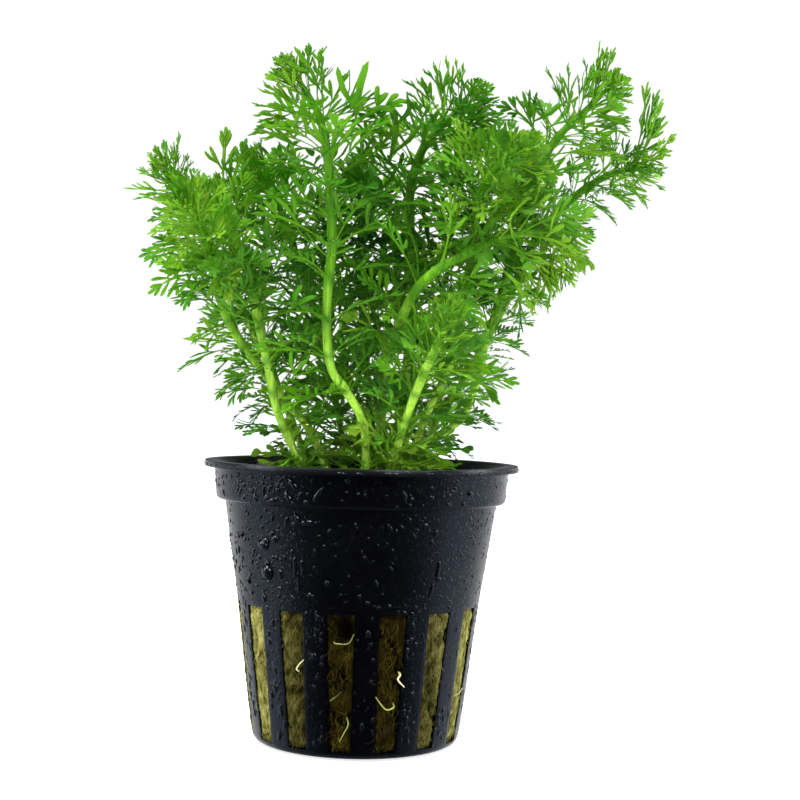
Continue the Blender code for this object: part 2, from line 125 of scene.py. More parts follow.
DROPS = [
    (-25.6, 46, 0.9, 2.3, -38), (-15.8, 44.5, 0.8, 2.7, 33), (-38.7, 44.7, 0.5, 1.7, 8),
    (-34.6, 43.2, 2.0, 0.7, -10), (-43.2, 43.4, 0.7, 1.3, -20), (-27.8, 43.9, 0.8, 2.0, -35),
    (-22.8, 44.2, 0.6, 1.3, 15), (-35.4, 45.4, 0.7, 0.7, 0), (-32.2, 44.9, 0.8, 0.9, 0),
    (16.0, 44.7, 0.6, 1.5, -20), (-1.1, 44.8, 0.5, 0.5, 0), (1.5, 44.7, 0.5, 0.5, 0), (44.6, 44.9, 0.9, 0.95, 0),
    (41.5, 43.2, 0.6, 0.9, 0), (34.1, 43.2, 0.6, 0.6, 0), (-45.1, 40, 1.1, 0.55, -30), (-41.8, 39.3, 1.5, 0.6, -10),
    (-38.0, 40.1, 0.6, 1.3, 25), (-38.8, 40.9, 0.8, 0.5, 0), (-31.0, 39.7, 0.7, 1.6, 10),
    (-26.2, 40.3, 0.7, 1.6, -25), (-21.0, 39.7, 2.7, 0.9, 0), (-44.5, 35.4, 2.2, 1.5, 25),
    (-42.6, 36.1, 1.4, 1.1, 35), (-37.4, 36.6, 1.5, 1.2, -15), (-39.0, 37.3, 0.9, 1.2, 20),
    (-59.9, 36.6, 0.8, 1.0, 0), (-43.2, 30.8, 2.0, 2.4, 0), (-43.0, 32.2, 0.9, 1.3, -12),
    (-44.5, 29.3, 2.4, 0.55, 0), (-35.9, 30.8, 0.8, 1.6, 0), (-50.3, 32.2, 1.1, 0.5, 10),
    (-37.5, 33.4, 0.6, 0.9, 0), (-33.2, 33.5, 0.5, 1.0, 0), (-28.2, 32, 0.6, 3.6, 2), (-26.9, 29.6, 0.5, 3.2, 0),
    (-24.6, 32.2, 0.6, 2.4, -4), (-46.6, 27.7, 1.4, 0.5, -25), (-37.0, 28.4, 1.2, 0.5, 15),
    (-30.1, 27, 1.1, 0.5, 40), (-21.0, 27.7, 1.2, 0.5, 30), (-47.2, 26.4, 0.7, 1.4, -10), (35.6, 32, 0.7, 3.1, 3),
    (36.6, 30.5, 0.9, 0.8, 0), (32.3, 38.3, 0.6, 1.3, 15), (30.8, 36.8, 0.45, 0.9, 0), (33.4, 28.7, 0.5, 2.4, 12),
    (38.6, 27.6, 1.2, 0.45, 15), (38.8, 31.4, 0.8, 0.5, 0), (11.8, 39.4, 0.5, 1.3, -35),
    (16.7, 39.5, 0.35, 0.9, -30), (-12.4, 38.5, 0.5, 0.9, 30), (-16.6, 37.6, 0.5, 0.45, 0),
    (-14.6, 36, 0.5, 0.5, 30), (-9.8, 36.4, 0.4, 0.4, -20), (13.4, 32.5, 0.36, 0.9, -25), (7.6, 30, 0.4, 1.2, -15),
    (-29.2, 34.7, 0.6, 0.8, 0), (-54.0, 29.7, 0.8, 0.5, 0), (-58.4, 28.8, 0.7, 1.1, 0), (-38.0, 27, 0.7, 0.55, 0),
]

# Each stem's radius, its collar at the wool's top and its route above it, in millimetres

STEMS = {
    "front_centre": (0.9, (1.0, -6.5), [(0, -8.5, 55.8), (-3, -10, 61.3), (-5.5, -10.5, 64.8), (-6.5, -10.5, 70.8),
        (-6.5, -10.5, 78.8), (-6, -10, 86.8), (-7, -9, 99.8), (-8.5, -8, 107.3), (-10.5, -8, 111.3),
        (-12.5, -8, 114.3)]),
    "left": (0.85, (-9.5, -5.0), [(-14, -8.5, 55.8), (-15.5, -9.5, 60.8), (-16.5, -9.5, 65.8), (-17.5, -9.5, 69.8),
        (-19, -9, 76.8), (-20.5, -8, 82.8), (-23, -7, 87.3), (-24.5, -5.5, 90.8), (-25.5, -4, 94.3)]),
    "left_behind": (0.85, (-5.5, 0.0), [(-9.5, 0.5, 54.3), (-13, 0, 58.3), (-17.5, -2, 64.3), (-21.5, -4, 69.3),
        (-24, -6, 73.8), (-25.5, -9, 78.8), (-26.5, -13, 83.8), (-28, -17, 88.3), (-29.5, -20, 91.3)]),
    "back_left": (0.8, (-9.0, 5.0), [(-14, 9, 58.3), (-20, 11, 70.8), (-26, 10, 82.3), (-31.5, 7, 91.8),
        (-36, 3, 99.3)]),
    "right": (0.9, (3.0, 2.0), [(3, 1.5, 55.8), (3.5, 0, 62.8), (3.5, -3, 67.3), (5, -6, 70.8), (6.5, -8.5, 74.8),
        (8.5, -10.5, 78.8), (11.5, -12, 81.8), (16.5, -13, 84.8), (22, -14, 87.3), (28, -14, 88.8),
        (32.5, -14, 87.3), (35, -14, 85.3)]),
    "top_middle": (0.95, (5.5, 6.5), [(7, 8.5, 58.8), (8, 9, 70.8), (8.5, 8, 81.8), (7.5, 6, 91.8), (7.5, 5, 97.8),
        (9, 4, 103.8), (11.5, 3, 107.8), (14, 3, 110.3), (17, 3, 113.3)]),
    "front_right": (0.8, (4.5, -7.5), [(7, -10, 55.8), (9.5, -13.5, 63.3), (12, -17, 69.3), (13.5, -19, 73.8)]),
    "middle_right": (0.8, (7.5, -1.5), [(11, -3, 57.3), (13.5, -4, 62.8), (16, -4, 70.8), (17.5, -3.5, 78.8),
        (18.5, -4, 86.8), (18.5, -8.5, 92.8), (19.5, -13.5, 96.8), (22, -17, 99.8), (25, -20, 102.3)]),
    "right_behind": (0.9, (9.0, 3.0), [(12, 4, 52.3), (16, 5, 55.3), (18.5, 5.5, 58.3), (20.5, 5, 64.8),
        (21.5, 4.5, 70.3), (23, 4, 74.8), (25, 3, 82.3), (26.5, 2, 87.8), (28, 0, 94.8), (30, -2, 101.8),
        (33, -3, 106.8), (36.5, -4, 110.3), (40, -5, 113.8)]),
    "far_right": (0.85, (10.0, 7.5), [(14, 10, 57.8), (18, 12.5, 62.8), (22.5, 15, 71.3), (27, 15.5, 80.8),
        (31, 13.5, 89.8), (36, 10.5, 96.3), (42, 6.5, 100.8), (48.5, 2.5, 102.8)]),
    "back_left_centre": (0.75, (-3.0, 7.5), [(-4.5, 12, 56.8), (-8, 17, 69.8), (-12, 18.5, 82.8),
        (-16.5, 17.5, 94.8), (-20.5, 15.5, 101.8)]),
    "back_centre": (0.75, (1.0, 11.0), [(1, 17, 59.8), (-0.5, 23, 73.8), (-1, 25, 85.8), (-1.5, 22, 94.8),
        (-2, 18.5, 100.8)]),
    "back_right": (0.75, (6.0, 11.5), [(10, 18, 59.8), (15, 24.5, 72.8), (20.5, 26.5, 86.8), (25, 23.5, 98.3),
        (29, 19.5, 105.8)]),
}

# The height of the stems' feet in the wool and of their collars, how close the feet are against the collars, and the
# gaps between the leaf joints from the growing tip down

FOOT_HEIGHT = 22.8
COLLAR_HEIGHT = 46.3
FOOT_SPREAD = 0.86
JOINT_GAPS = (1.2, 1.5, 2.0, 2.6, 3.2, 3.9, 4.6, 5.2, 5.6, 6.0, 6.3, 6.6, 6.9, 7.1, 7.3)

# The size of each stem's leaves at its crown, at its middle and low down, and how much lighter or darker they are
# painted, as painted light and shade

LEAF_SHARES = {
    "front_centre": (1.0, 1.0, 0.9, 0.03), "left": (1.0, 0.82, 0.8, -0.1), "left_behind": (0.95, 0.72, 0.7, -0.04),
    "back_left": (0.9, 0.62, 0.55, 0.0), "right": (0.76, 0.9, 0.85, 0.3), "top_middle": (1.05, 1.0, 1.0, 0.0),
    "front_right": (0.88, 0.92, 1.0, 0.2), "middle_right": (0.74, 0.86, 0.9, -0.02),
    "right_behind": (1.05, 0.9, 0.55, 0.0), "far_right": (0.9, 0.6, 0.45, -0.04),
    "back_left_centre": (1.0, 1.0, 1.1, 0.0), "back_centre": (1.0, 1.0, 1.2, 0.0),
    "back_right": (1.0, 0.75, 0.5, 0.0),
}

# Leaves placed one by one: how far the joint is from the growing tip, then x, y and z of the leaf's end

SET_LEAVES = {
    "front_centre": [(6.5, -8.6, -9, 119.3), (6.5, -3.7, -11, 115.5), (6.5, 3, -8, 112.1), (6.5, 4.3, -12, 108.8),
        (11, 1.6, -6, 109.4), (11, 2.4, -12, 103.8), (4.5, -19.4, -8, 112.2), (5, -19.6, -12, 106.9),
        (6, -20.7, -6, 104.4), (4, -18, -11, 114.2), (1.5, -11.8, -9, 119.2), (11, -18.2, -12, 103.1),
        (4.5, -17.5, -6, 116.5), (6.5, -18.9, -5, 113.9), (9, -20.3, -9, 109.7), (9, -19.8, -4, 106.5)],
    "left": [(3, -21.2, -6, 104.2), (0.6, -24.9, -5, 106.3), (11, -33.4, -12, 79.7), (44, -20.5, -10, 53.2),
        (30, -25.1, -9, 58.9), (30, -22.7, -13, 58.1), (33, -21.3, -5, 58.6), (26, -26.9, -10, 67.3),
        (28, -25.9, -6, 65.7)],
    "back_left": [(2, -33.5, 2, 106.3), (1.5, -39.1, 0, 102.2), (3, -41.1, 4, 99.5), (4, -43.4, 3, 96.1),
        (5, -42, 5, 94.4), (7, -38.9, 6, 92.8), (9, -37.6, 6, 90.7), (1, -36.9, 6, 105.4), (4, -38.9, 3, 100.5),
        (3, -38, 2, 103.9)],
    "left_behind": [(5, -36.7, -14, 86.5), (6, -34.6, -18, 87.7), (6, -33.9, -16, 85.1), (8, -32, -16, 82.3),
        (18, -29.6, -10, 79.8), (26, -29.7, -8, 68.5), (32, -25.8, -6, 63.3), (24, -27.5, -4, 67.4),
        (27, -27.6, -6, 70.5)],
    "top_middle": [(2.5, 12.7, 2, 121.1), (2, 16.3, 5, 120.6), (3.5, 8.9, 1, 118.5), (4.5, 7.6, 4, 117.3),
        (5.5, 5.2, 0, 116.3), (1, 19, 4, 118.1), (0.5, 20.5, 2, 116.4), (0.5, 21.5, 5, 115.2),
        (1.5, 21.6, 1, 112.3), (6.5, 6.2, 5, 115.1), (9, 3.6, 4, 110.2), (9, 2.6, 0, 107.7), (4, 24.1, 5, 111.8),
        (4, 10.7, 3, 120.2), (1.5, 14.6, 1, 120.6), (8, 4.6, 2, 113.1), (3, 22.9, 2, 113.6)],
    "right_behind": [(8.5, 30.2, -3, 118.7), (8, 33.7, -6, 118.9), (8.5, 33, 1, 118.3), (4, 35.5, -6, 117.1),
        (4, 37.4, -3, 117.4), (2.5, 36.6, -5, 120.1), (2, 38.7, -7, 120.2), (1.5, 39.4, -4, 123.3),
        (1.5, 42, -3, 122.4), (9.5, 26.9, -2, 114.4), (10, 26.5, 1, 113.4), (38, 27.2, 4, 70.6),
        (46, 29.7, 5, 68.2), (1.5, 40.9, -2, 122.6), (1, 38, -6, 119.2), (6, 31.5, -3, 115.6),
        (12, 27.3, -4, 111.3)],
    "far_right": [(1, 48.6, 1, 117.4), (1.2, 50.8, 3, 116.4), (1.5, 51, 0, 114.4), (1, 51.8, 4, 111.6),
        (0.5, 54.4, 2, 108.5), (0.5, 53.2, 4, 106.6), (0.5, 52, 0, 104), (0.5, 51.3, 3, 102.3), (2, 47.3, 3, 97.7),
        (4, 45.9, 5, 97), (5, 42.8, 6, 97.6), (8, 39.4, 8, 97.2)],
    "right": [(3, 31.6, -15, 93.2), (2.5, 32.9, -11, 93), (2, 34.3, -15, 91.2), (1, 34.9, -12, 89),
        (3, 31.9, -15, 80.9), (4, 30.9, -12, 80.3), (5, 29.1, -16, 78.5), (5, 29.1, -12, 77), (10, 24.6, -15, 74.9),
        (1.5, 32.6, -14, 78.8), (2, 34.7, -11, 80.6), (3, 31.4, -13, 77.5), (6, 30.1, -14, 75.4),
        (0.6, 36.4, -13, 84.1), (0.6, 36.9, -15, 86.6), (8, 27.8, -12, 75.4)],
    "back_right": [(46, 25.6, 18, 59.3), (54, 21.4, 15, 55.7)],
    "middle_right": [(2, 22.8, -18, 104.8)],
}

# Roots: radius in millimetres, paleness, and a route as degrees round from the viewer, height and distance off
# the wall in millimetres

ROOTS = {
    "root_left": (0.13, 0.8, [(-29.5, 14.6, -0.5), (-28.5, 15.2, 0.8), (-26.5, 16.1, 1.1), (-24, 17, 1.2)]),
    "root_slot_left": (0.1, 0.2, [(-11, 20, -0.5), (-9.5, 20, 0.9), (-4, 20.1, 1.1), (-1.5, 21.7, 1.1)]),
    "root_hook": (0.16, 1.0, [(20.8, 15.0, -0.5), (20.2, 14.8, 0.8), (19, 14.0, 1.1), (22.5, 12.7, 1.0)]),
    "root_rib": (0.13, 0.4, [(19, 9.8, -0.5), (18, 9.3, 0.8), (14.5, 9, 1.0), (11.5, 10, 1.0), (9, 11.2, 1.0)]),
    "root_long": (0.08, 0.35, [(-4.5, 7.4, -0.5), (-3.5, 6.4, 0.8), (-5.5, 4.9, 1.0), (-7.5, 3.5, 1.1)]),
    "root_low": (0.07, 0.0, [(-11, 10.8, -0.5), (-12, 10.3, 0.8), (-9.5, 11, 1.0), (-7, 11.9, 1.0)]),
    "root_right": (0.11, 0.7, [(60, 9.6, -0.5), (59.5, 10.2, 0.8), (62, 11.1, 1.0)]),
}


# Materials


class Wire:
    """A socket in a finish, so that sums of sockets read as sums."""

    def __init__(self, finish, socket):
        self.finish = finish
        self.socket = socket

    def maths(self, operation, first, second):
        return self.finish.node("Math", {"operation": operation}, {0: first, 1: second})

    def __add__(self, other):
        return self.maths("ADD", self, other)

    def __sub__(self, other):
        return self.maths("SUBTRACT", self, other)

    def __rsub__(self, other):
        return self.maths("SUBTRACT", other, self)

    def __mul__(self, other):
        return self.maths("MULTIPLY", self, other)

    __radd__ = __add__
    __rmul__ = __mul__


class Finish:
    """The nodes of a material or of the world, added one at a time."""

    def __init__(self, owner):
        self.owner = owner
        owner.use_nodes = True
        self.tree = owner.node_tree
        self.tree.nodes.clear()

    def node(self, kind, settings=None, sockets=None, output=0):
        made = self.tree.nodes.new("ShaderNode" + kind)
        for setting, value in (settings or {}).items():
            if setting == "stops":
                self.set_stops(made.color_ramp, value)
            else:
                setattr(made, setting, value)
        for key, value in (sockets or {}).items():
            if isinstance(value, Wire):
                self.tree.links.new(value.socket, made.inputs[key])
            else:
                made.inputs[key].default_value = value
        return Wire(self, made.outputs[output]) if made.outputs else None

    def set_stops(self, ramp, stops):
        while len(ramp.elements) < len(stops):
            ramp.elements.new(1.0)
        for element, (place, colour) in zip(ramp.elements, stops):
            element.position = place
            element.color = (*colour, 1.0)

    def ramp(self, factor, stops):
        return self.node("ValToRGB", {"stops": stops}, {0: factor})

    def steps(self, factor, low, high):
        return self.node("MapRange", {}, {"Value": factor, "From Min": low, "From Max": high})

    def place(self, stretch=(1, 1, 1), turn=(0, 0, 0)):
        where = self.node("TexCoord", output=3)
        turned = self.node("Mapping", {}, {"Vector": where, "Rotation": turn})
        return self.node("Mapping", {}, {"Vector": turned, "Scale": stretch})

    def grain(self, where, size, detail=2.0, roughness=0.5):
        """Noise whose patches are about the size given in millimetres."""
        sockets = {"Vector": where, "Scale": 1000.0 / size, "Detail": detail, "Roughness": roughness}
        return self.node("TexNoise", {}, sockets)

    def blend(self, factor, first, second):
        return self.node("Mix", {"data_type": "RGBA"}, {0: factor, 6: first, 7: second}, 2)

    def stain(self, factor, colour, tint):
        """The colour multiplied by a tint, by the factor."""
        return self.node("Mix", {"data_type": "RGBA", "blend_type": "MULTIPLY"}, {0: factor, 6: colour, 7: tint}, 2)

    def bump(self, height, depth, strength, under=None):
        sockets = {"Height": height, "Distance": depth * MM, "Strength": strength}
        if under is not None:
            sockets["Normal"] = under
        return self.node("Bump", {}, sockets)

    def attribute(self, name):
        return self.node("Attribute", {"attribute_name": name}, output=2)

    def close(self, surface):
        """Gives the surface to the output, and returns the finished material."""
        self.node("OutputMaterial", {}, {"Surface": surface})
        return self.owner

    def skin(self, colour, roughness, specular, relief=None, glow=0.0):
        """A plain surface, with a bump for its relief, that may give off some white light."""
        sockets = {"Base Color": colour, "Roughness": roughness, "Specular IOR Level": specular}
        if relief is not None:
            sockets["Normal"] = relief
        if glow:
            sockets.update({"Emission Color": rgb(1, 1, 1), "Emission Strength": glow})
        return self.node("BsdfPrincipled", {}, sockets)


def new_finish(name):
    return Finish(bpy.data.materials.new(name))


def rgb(red, green, blue):
    return (red, green, blue, 1.0)


def black_plastic():
    """Satin black moulded plastic with a thin uneven film of water."""
    f = new_finish("black_plastic")
    where = f.place()
    broad = f.grain(where, 9.0, 3.0)
    fine = f.grain(where, 0.55, 3.0)
    upright = f.grain(f.place((1, 1, 0.12)), 1.6, 3.0)
    mist = f.node("TexVoronoi", {"feature": "F1"}, {"Vector": where, "Scale": 1700.0})
    spray = f.node("TexVoronoi", {"feature": "F1"}, {"Vector": where, "Scale": 900.0})
    specks = f.steps(mist, 0.34, 0.10) + 1.6 * f.steps(spray, 0.24, 0.06)
    colour = f.blend(upright * broad, rgb(0.0002, 0.0002, 0.0004), rgb(0.0009, 0.0011, 0.0019))
    level = f.node("SeparateXYZ", {}, {0: where}, 2)
    flange = f.steps(level, 0.0474, 0.0478)
    roughness = 0.10 + 0.16 * broad + 0.06 * fine + 0.12 * flange
    film = f.bump(specks * (1.0 - 0.5 * flange), 0.05, 0.8)
    surface = f.bump(fine + 0.4 * upright, 0.009, 0.5, film)
    return f.close(f.skin(colour, roughness, 0.42, surface))


def wet_drop():
    """Clear water on the black plastic: as dark as the plastic under it and very smooth."""
    f = new_finish("wet_drop")
    fine = f.grain(f.place(), 0.8, 2.0)
    colour = f.blend(fine, rgb(0.0006, 0.0008, 0.0015), rgb(0.0025, 0.003, 0.0045))
    return f.close(f.skin(colour, 0.06 + 0.08 * fine, 0.5))


def olive_wool():
    """Packed mineral wool: matted olive fibre, with painted shade in its creases and hollows, and darker where damp,
    with painted shade added in the slots in front.
    """
    f = new_finish("olive_wool")
    strands = f.grain(f.place((1, 1, 0.22)), 0.5, 5.0, 0.65)
    hairs = f.grain(f.place((1, 1, 0.3), (0.3, 0.45, 0)), 0.2, 3.0, 0.6)
    tangle = f.grain(f.place((1, 1, 0.4), (-0.4, -0.6, 0)), 1.3, 5.0, 0.6)
    clumps = f.grain(f.place(), 6.0, 3.0)
    dirt = f.grain(f.place(), 3.2, 4.0)
    tone = 0.62 * strands + 0.56 * tangle + 0.24 * clumps + 0.52 * hairs - 0.445
    colour = f.ramp(tone, [(0.34, (0.028, 0.024, 0.004)), (0.45, (0.14, 0.127, 0.020)),
                           (0.56, (0.32, 0.31, 0.080)), (0.70, (0.50, 0.485, 0.19))])
    stained = f.blend(0.55 * f.steps(dirt, 0.52, 0.72), colour, rgb(0.085, 0.060, 0.016))
    # painted shade: the wool is taken near-black in its creases and its hollow, where shade falls
    shaded = f.blend(0.85 * f.attribute("fold"), stained, rgb(0.014, 0.012, 0.003))
    # partly painted shade: besides wetness, this darkens the slots in front, where shade falls
    soaked_and_shaded = f.attribute("damp") * (1.27 - 0.34 * tangle - 0.22 * dirt)
    wet_and_shaded = f.stain(f.steps(soaked_and_shaded, 0.0, 1.0), shaded, rgb(0.040, 0.028, 0.004))
    relief = f.bump(strands + 1.4 * tangle + 0.6 * hairs, 0.3, 1.0)
    return f.close(f.skin(wet_and_shaded, 0.75 + 0.2 * strands, 0.02, relief))


def wool_thread():
    """Single strands of the wool, paler than the mat, darkened where damp and with painted shade in front."""
    f = new_finish("wool_thread")
    clumps = f.grain(f.place(), 2.2, 3.0)
    colour = f.ramp(clumps, [(0.30, (0.07, 0.066, 0.014)), (0.5, (0.26, 0.255, 0.06)), (0.72, (0.6, 0.6, 0.24))])
    # the strands take the same darkening: wetness, and painted shade in front
    wet_and_shaded = f.stain(0.96 * f.attribute("damp"), colour, rgb(0.14, 0.11, 0.03))
    relief = f.bump(f.grain(f.place(), 0.15), 0.02, 0.5)
    return f.close(f.skin(wet_and_shaded, 0.55 + 0.3 * clumps, 0.04, relief))


def root_skin():
    """Thin living root: cream to pale green."""
    f = new_finish("root_skin")
    mottle = f.grain(f.place(), 1.3, 3.0)
    tone = f.attribute("pale") + 0.5 * (mottle - 0.5)
    colour = f.ramp(tone, [(0.0, (0.09, 0.085, 0.02)), (0.35, (0.22, 0.27, 0.04)), (0.7, (0.45, 0.45, 0.20)),
                           (1.0, (0.66, 0.60, 0.32))])
    relief = f.bump(f.grain(f.place(), 0.2), 0.03, 0.6)
    return f.close(f.skin(colour, 0.3 + 0.25 * mottle, 0.5, relief))


def stem_skin():
    """Juicy light green stem, with fine ribs along it and deeper green at the joints."""
    f = new_finish("stem_skin")
    ribs = f.grain(f.place((1, 1, 0.05)), 0.28, 2.0)
    mottle = f.grain(f.place((1, 1, 0.4)), 2.4, 3.0)
    patches = f.grain(f.place(), 14.0, 2.0)
    streaks = 0.5 * ribs + 0.5 * mottle
    pale = f.ramp(streaks, [(0.36, (0.15, 0.34, 0.018)), (0.52, (0.28, 0.50, 0.04)), (0.68, (0.42, 0.64, 0.10))])
    fresh = f.ramp(streaks, [(0.36, (0.036, 0.14, 0.002)), (0.52, (0.075, 0.23, 0.003)), (0.68, (0.15, 0.36, 0.010))])
    grown = f.blend(f.steps(f.attribute("height_share") + 0.4 * (patches - 0.5), 0.2, 0.8), pale, fresh)
    colour = f.blend(0.75 * f.attribute("joint"), grown, rgb(0.028, 0.14, 0.006))
    relief = f.bump(ribs + 0.5 * mottle, 0.06, 0.7)
    return f.close(f.skin(colour, 0.34 + 0.22 * mottle, 0.1, relief))


def leaf_skin():
    """Thin leaf blade: light passes through it, and its colour runs from blue-green to yellow-green, with painted
    shade inside the plant, painted light at its outline and a painted bluish sheen on some.
    """
    f = new_finish("leaf_skin")
    shade = f.attribute("shade")
    cells = f.grain(f.place(), 0.35, 3.0)
    mottle = f.grain(f.place(), 2.6, 3.0)
    patches = f.grain(f.place(), 16.0, 2.0)
    # the tone attribute carries painted light and shade as well as the leaf's own colour
    tone = shade + 0.26 * (mottle - 0.5) + 0.14 * (cells - 0.5) + 0.3 * (patches - 0.5)
    blade = f.ramp(tone, [(0.0, (0.001, 0.046, 0.001)), (0.3, (0.009, 0.122, 0.001)), (0.55, (0.100, 0.295, 0.003)),
                          (0.95, (0.29, 0.45, 0.032))])
    # painted sheen: some leaves are blended to blue-green, a tint that also stands in for a bluish reflection
    tinted_and_sheened = f.blend(0.75 * f.attribute("cool"), blade, rgb(0.006, 0.108, 0.022))
    turned = f.blend(0.5 * f.attribute("under"), tinted_and_sheened, rgb(0.10, 0.24, 0.026))
    colour = f.blend(0.4 * f.attribute("rib"), turned, rgb(0.16, 0.42, 0.005))
    relief = f.bump(cells + mottle, 0.03, 0.6)
    glossy = f.skin(colour, 0.34 + 0.2 * mottle, 0.035, relief)
    through = f.node("BsdfTranslucent", {}, {"Color": rgb(0.14, 0.57, 0.008)})
    return f.close(f.node("MixShader", {}, {0: 0.14 + 0.26 * shade, 1: glossy, 2: through}))


def pale_floor():
    f = new_finish("pale_floor")
    cloud = f.grain(f.place(), 60.0, 2.0)
    colour = f.blend(cloud, rgb(0.90, 0.90, 0.90), rgb(0.93, 0.93, 0.93))
    return f.close(f.skin(colour, 0.7 + 0.1 * cloud, 0.0, glow=0.78))


# Modelling helpers


def deselect():
    bpy.ops.object.select_all(action="DESELECT")


def pick(made):
    deselect()
    bpy.context.view_layer.objects.active = made
    made.select_set(True)


def edit(made):
    pick(made)
    bpy.ops.object.mode_set(mode="EDIT")


def leave_edit():
    bpy.ops.object.mode_set(mode="OBJECT")


def put(name, data):
    made = bpy.data.objects.new(name, data)
    bpy.context.scene.collection.objects.link(made)
    return made


def apply_place(made):
    pick(made)
    bpy.ops.object.transform_apply(location=True, rotation=True, scale=True)


def opened(name):
    """The primitive just added, named, with its place applied and open for editing."""
    made = bpy.context.object
    made.name = made.data.name = name
    apply_place(made)
    edit(made)
    return made


def unit_rod(name, radius):
    """A three-sided rod from the origin to one unit along X, open for editing."""
    deselect()
    bpy.ops.mesh.primitive_cylinder_add(vertices=3, radius=radius, depth=1, location=(0.5, 0, 0),
                                        rotation=(0, math.pi / 2, 0))
    return opened(name)


def apply_modifier(made, kind, **settings):
    step = made.modifiers.new(kind.lower(), kind)
    for setting, value in settings.items():
        setattr(step, setting, value)
    pick(made)
    bpy.ops.object.modifier_apply(modifier=step.name)


def cut_across(direction, distance):
    """Cuts the whole of the piece being edited across a direction, at a distance from the origin."""
    bpy.ops.mesh.select_all(action="SELECT")
    bpy.ops.mesh.bisect(plane_co=Vector(direction) * distance, plane_no=direction)


def close_seams(gap):
    """Merges the doubled points of the piece being edited and turns its faces outwards."""
    bpy.ops.mesh.select_all(action="SELECT")
    bpy.ops.mesh.remove_doubles(threshold=gap)
    bpy.ops.mesh.normals_make_consistent(inside=False)
    leave_edit()


def choose(made, test, kind="vertices"):
    """Selects the vertices or faces of the piece being edited that pass a test."""
    bpy.ops.object.mode_set(mode="EDIT")
    bpy.ops.mesh.select_mode(type="VERT" if kind == "vertices" else "FACE")
    bpy.ops.mesh.select_all(action="DESELECT")
    leave_edit()
    for item in getattr(made.data, kind):
        item.select = bool(test(item))
    bpy.ops.object.mode_set(mode="EDIT")


def smooth(made, degrees):
    pick(made)
    bpy.ops.object.shade_smooth_by_angle(angle=math.radians(degrees))


def points_of(made):
    flat = np.empty(len(made.data.vertices) * 3)
    made.data.vertices.foreach_get("co", flat)
    return flat.reshape(-1, 3)


def set_points(made, points):
    made.data.vertices.foreach_set("co", np.asarray(points, float).ravel())
    made.data.update()


def triangles_of(made):
    made.data.calc_loop_triangles()
    flat = np.empty(len(made.data.loop_triangles) * 3, int)
    made.data.loop_triangles.foreach_get("vertices", flat)
    return flat.reshape(-1, 3)


def set_attribute(made, name, values):
    layer = made.data.attributes.new(name, "FLOAT", "POINT")
    layer.data.foreach_set("value", np.asarray(values, float))


def taken_shape(made):
    """The points and triangles of a pattern, whose object is then removed."""
    shape = points_of(made), triangles_of(made)
    bpy.data.objects.remove(made)
    return shape


def stacked(copies):
    """The points and triangles of all the copies, one after another."""
    starts = np.cumsum([0] + [len(points) for points, _ in copies[:-1]])
    triangles = [triangles + start for (_, triangles), start in zip(copies, starts)]
    return np.vstack([points for points, _ in copies]), np.vstack(triangles)


def joined(name, copies):
    """One mesh from copies, each given as its points and its triangles."""
    points, corners = stacked(copies)
    mesh = bpy.data.meshes.new(name)
    mesh.vertices.add(len(points))
    mesh.vertices.foreach_set("co", points.ravel())
    mesh.loops.add(corners.size)
    mesh.loops.foreach_set("vertex_index", corners.ravel())
    mesh.polygons.add(len(corners))
    mesh.polygons.foreach_set("loop_start", np.arange(0, corners.size, 3))
    mesh.update(calc_edges=True)
    return put(name, mesh)


def finish_piece(made, material, slot, *nodes):
    made.data.materials.clear()
    made.data.materials.append(material)
    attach(made, "root")
    if nodes:
        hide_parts(*nodes)


def held(value, top=1.0):
    """The value kept between nought and the top."""
    return min(top, max(0.0, value))


def around(angle, radius, height):
    """A point at an angle round the pot, measured from the viewer towards +X."""
    return Vector((radius * math.sin(angle), -radius * math.cos(angle), height))


def wall_radius(wall, height):
    """The radius of a wall's line at one height or several, in millimetres."""
    return np.interp(height, [z for _, z in wall], [r for r, _ in wall])


def outside_radius(height):
    return float(wall_radius(OUTSIDE_WALL, height))


def inside_radius(height):
    return float(wall_radius(INSIDE_WALL, height))


def slot_width(height):
    return float(np.interp(height, (SLOT_LOW, SLOT_HIGH), (SLOT_WIDTH_LOW, SLOT_WIDTH_HIGH)))


def slot_offset(angle):
    """How far an angle is from the middle of the nearest slot."""
    return (angle - SLOT_FIRST + SLOT_PITCH / 2) % SLOT_PITCH - SLOT_PITCH / 2


def smooth_line(points, step):
    """Points about a step apart on a smooth curve that passes through the given ones."""
    ends = [points[0] * 2 - points[1]] + points + [points[-1] * 2 - points[-2]]
    line = []
    for a, b, c, d in zip(ends, ends[1:], ends[2:], ends[3:]):
        count = max(1, round((c - b).length / step))
        for index in range(count):
            t = index / count
            line.append(0.5 * (2 * b + (c - a) * t + (2 * a - 5 * b + 4 * c - d) * t ** 2
                               + (3 * b - a - 3 * c + d) * t ** 3))
    return line + [points[-1]]


def round_rod(name, line, radii, sides):
    """A rod along a line, drawn as a curve with a round section and made a mesh."""
    curve = bpy.data.curves.new(name, "CURVE")
    curve.dimensions = "3D"
    curve.bevel_depth = 1.0
    curve.bevel_resolution = sides // 2 - 2
    curve.use_fill_caps = True
    spline = curve.splines.new("POLY")
    spline.points.add(len(line) - 1)
    for target, point, radius in zip(spline.points, line, radii):
        target.co = (*point, 1.0)
        target.radius = radius
    made = put(name, curve)
    pick(made)
    bpy.ops.object.convert(target="MESH")
    made = bpy.context.object
    edit(made)
    close_seams(0.001 * MM)
    return made


# Net pot


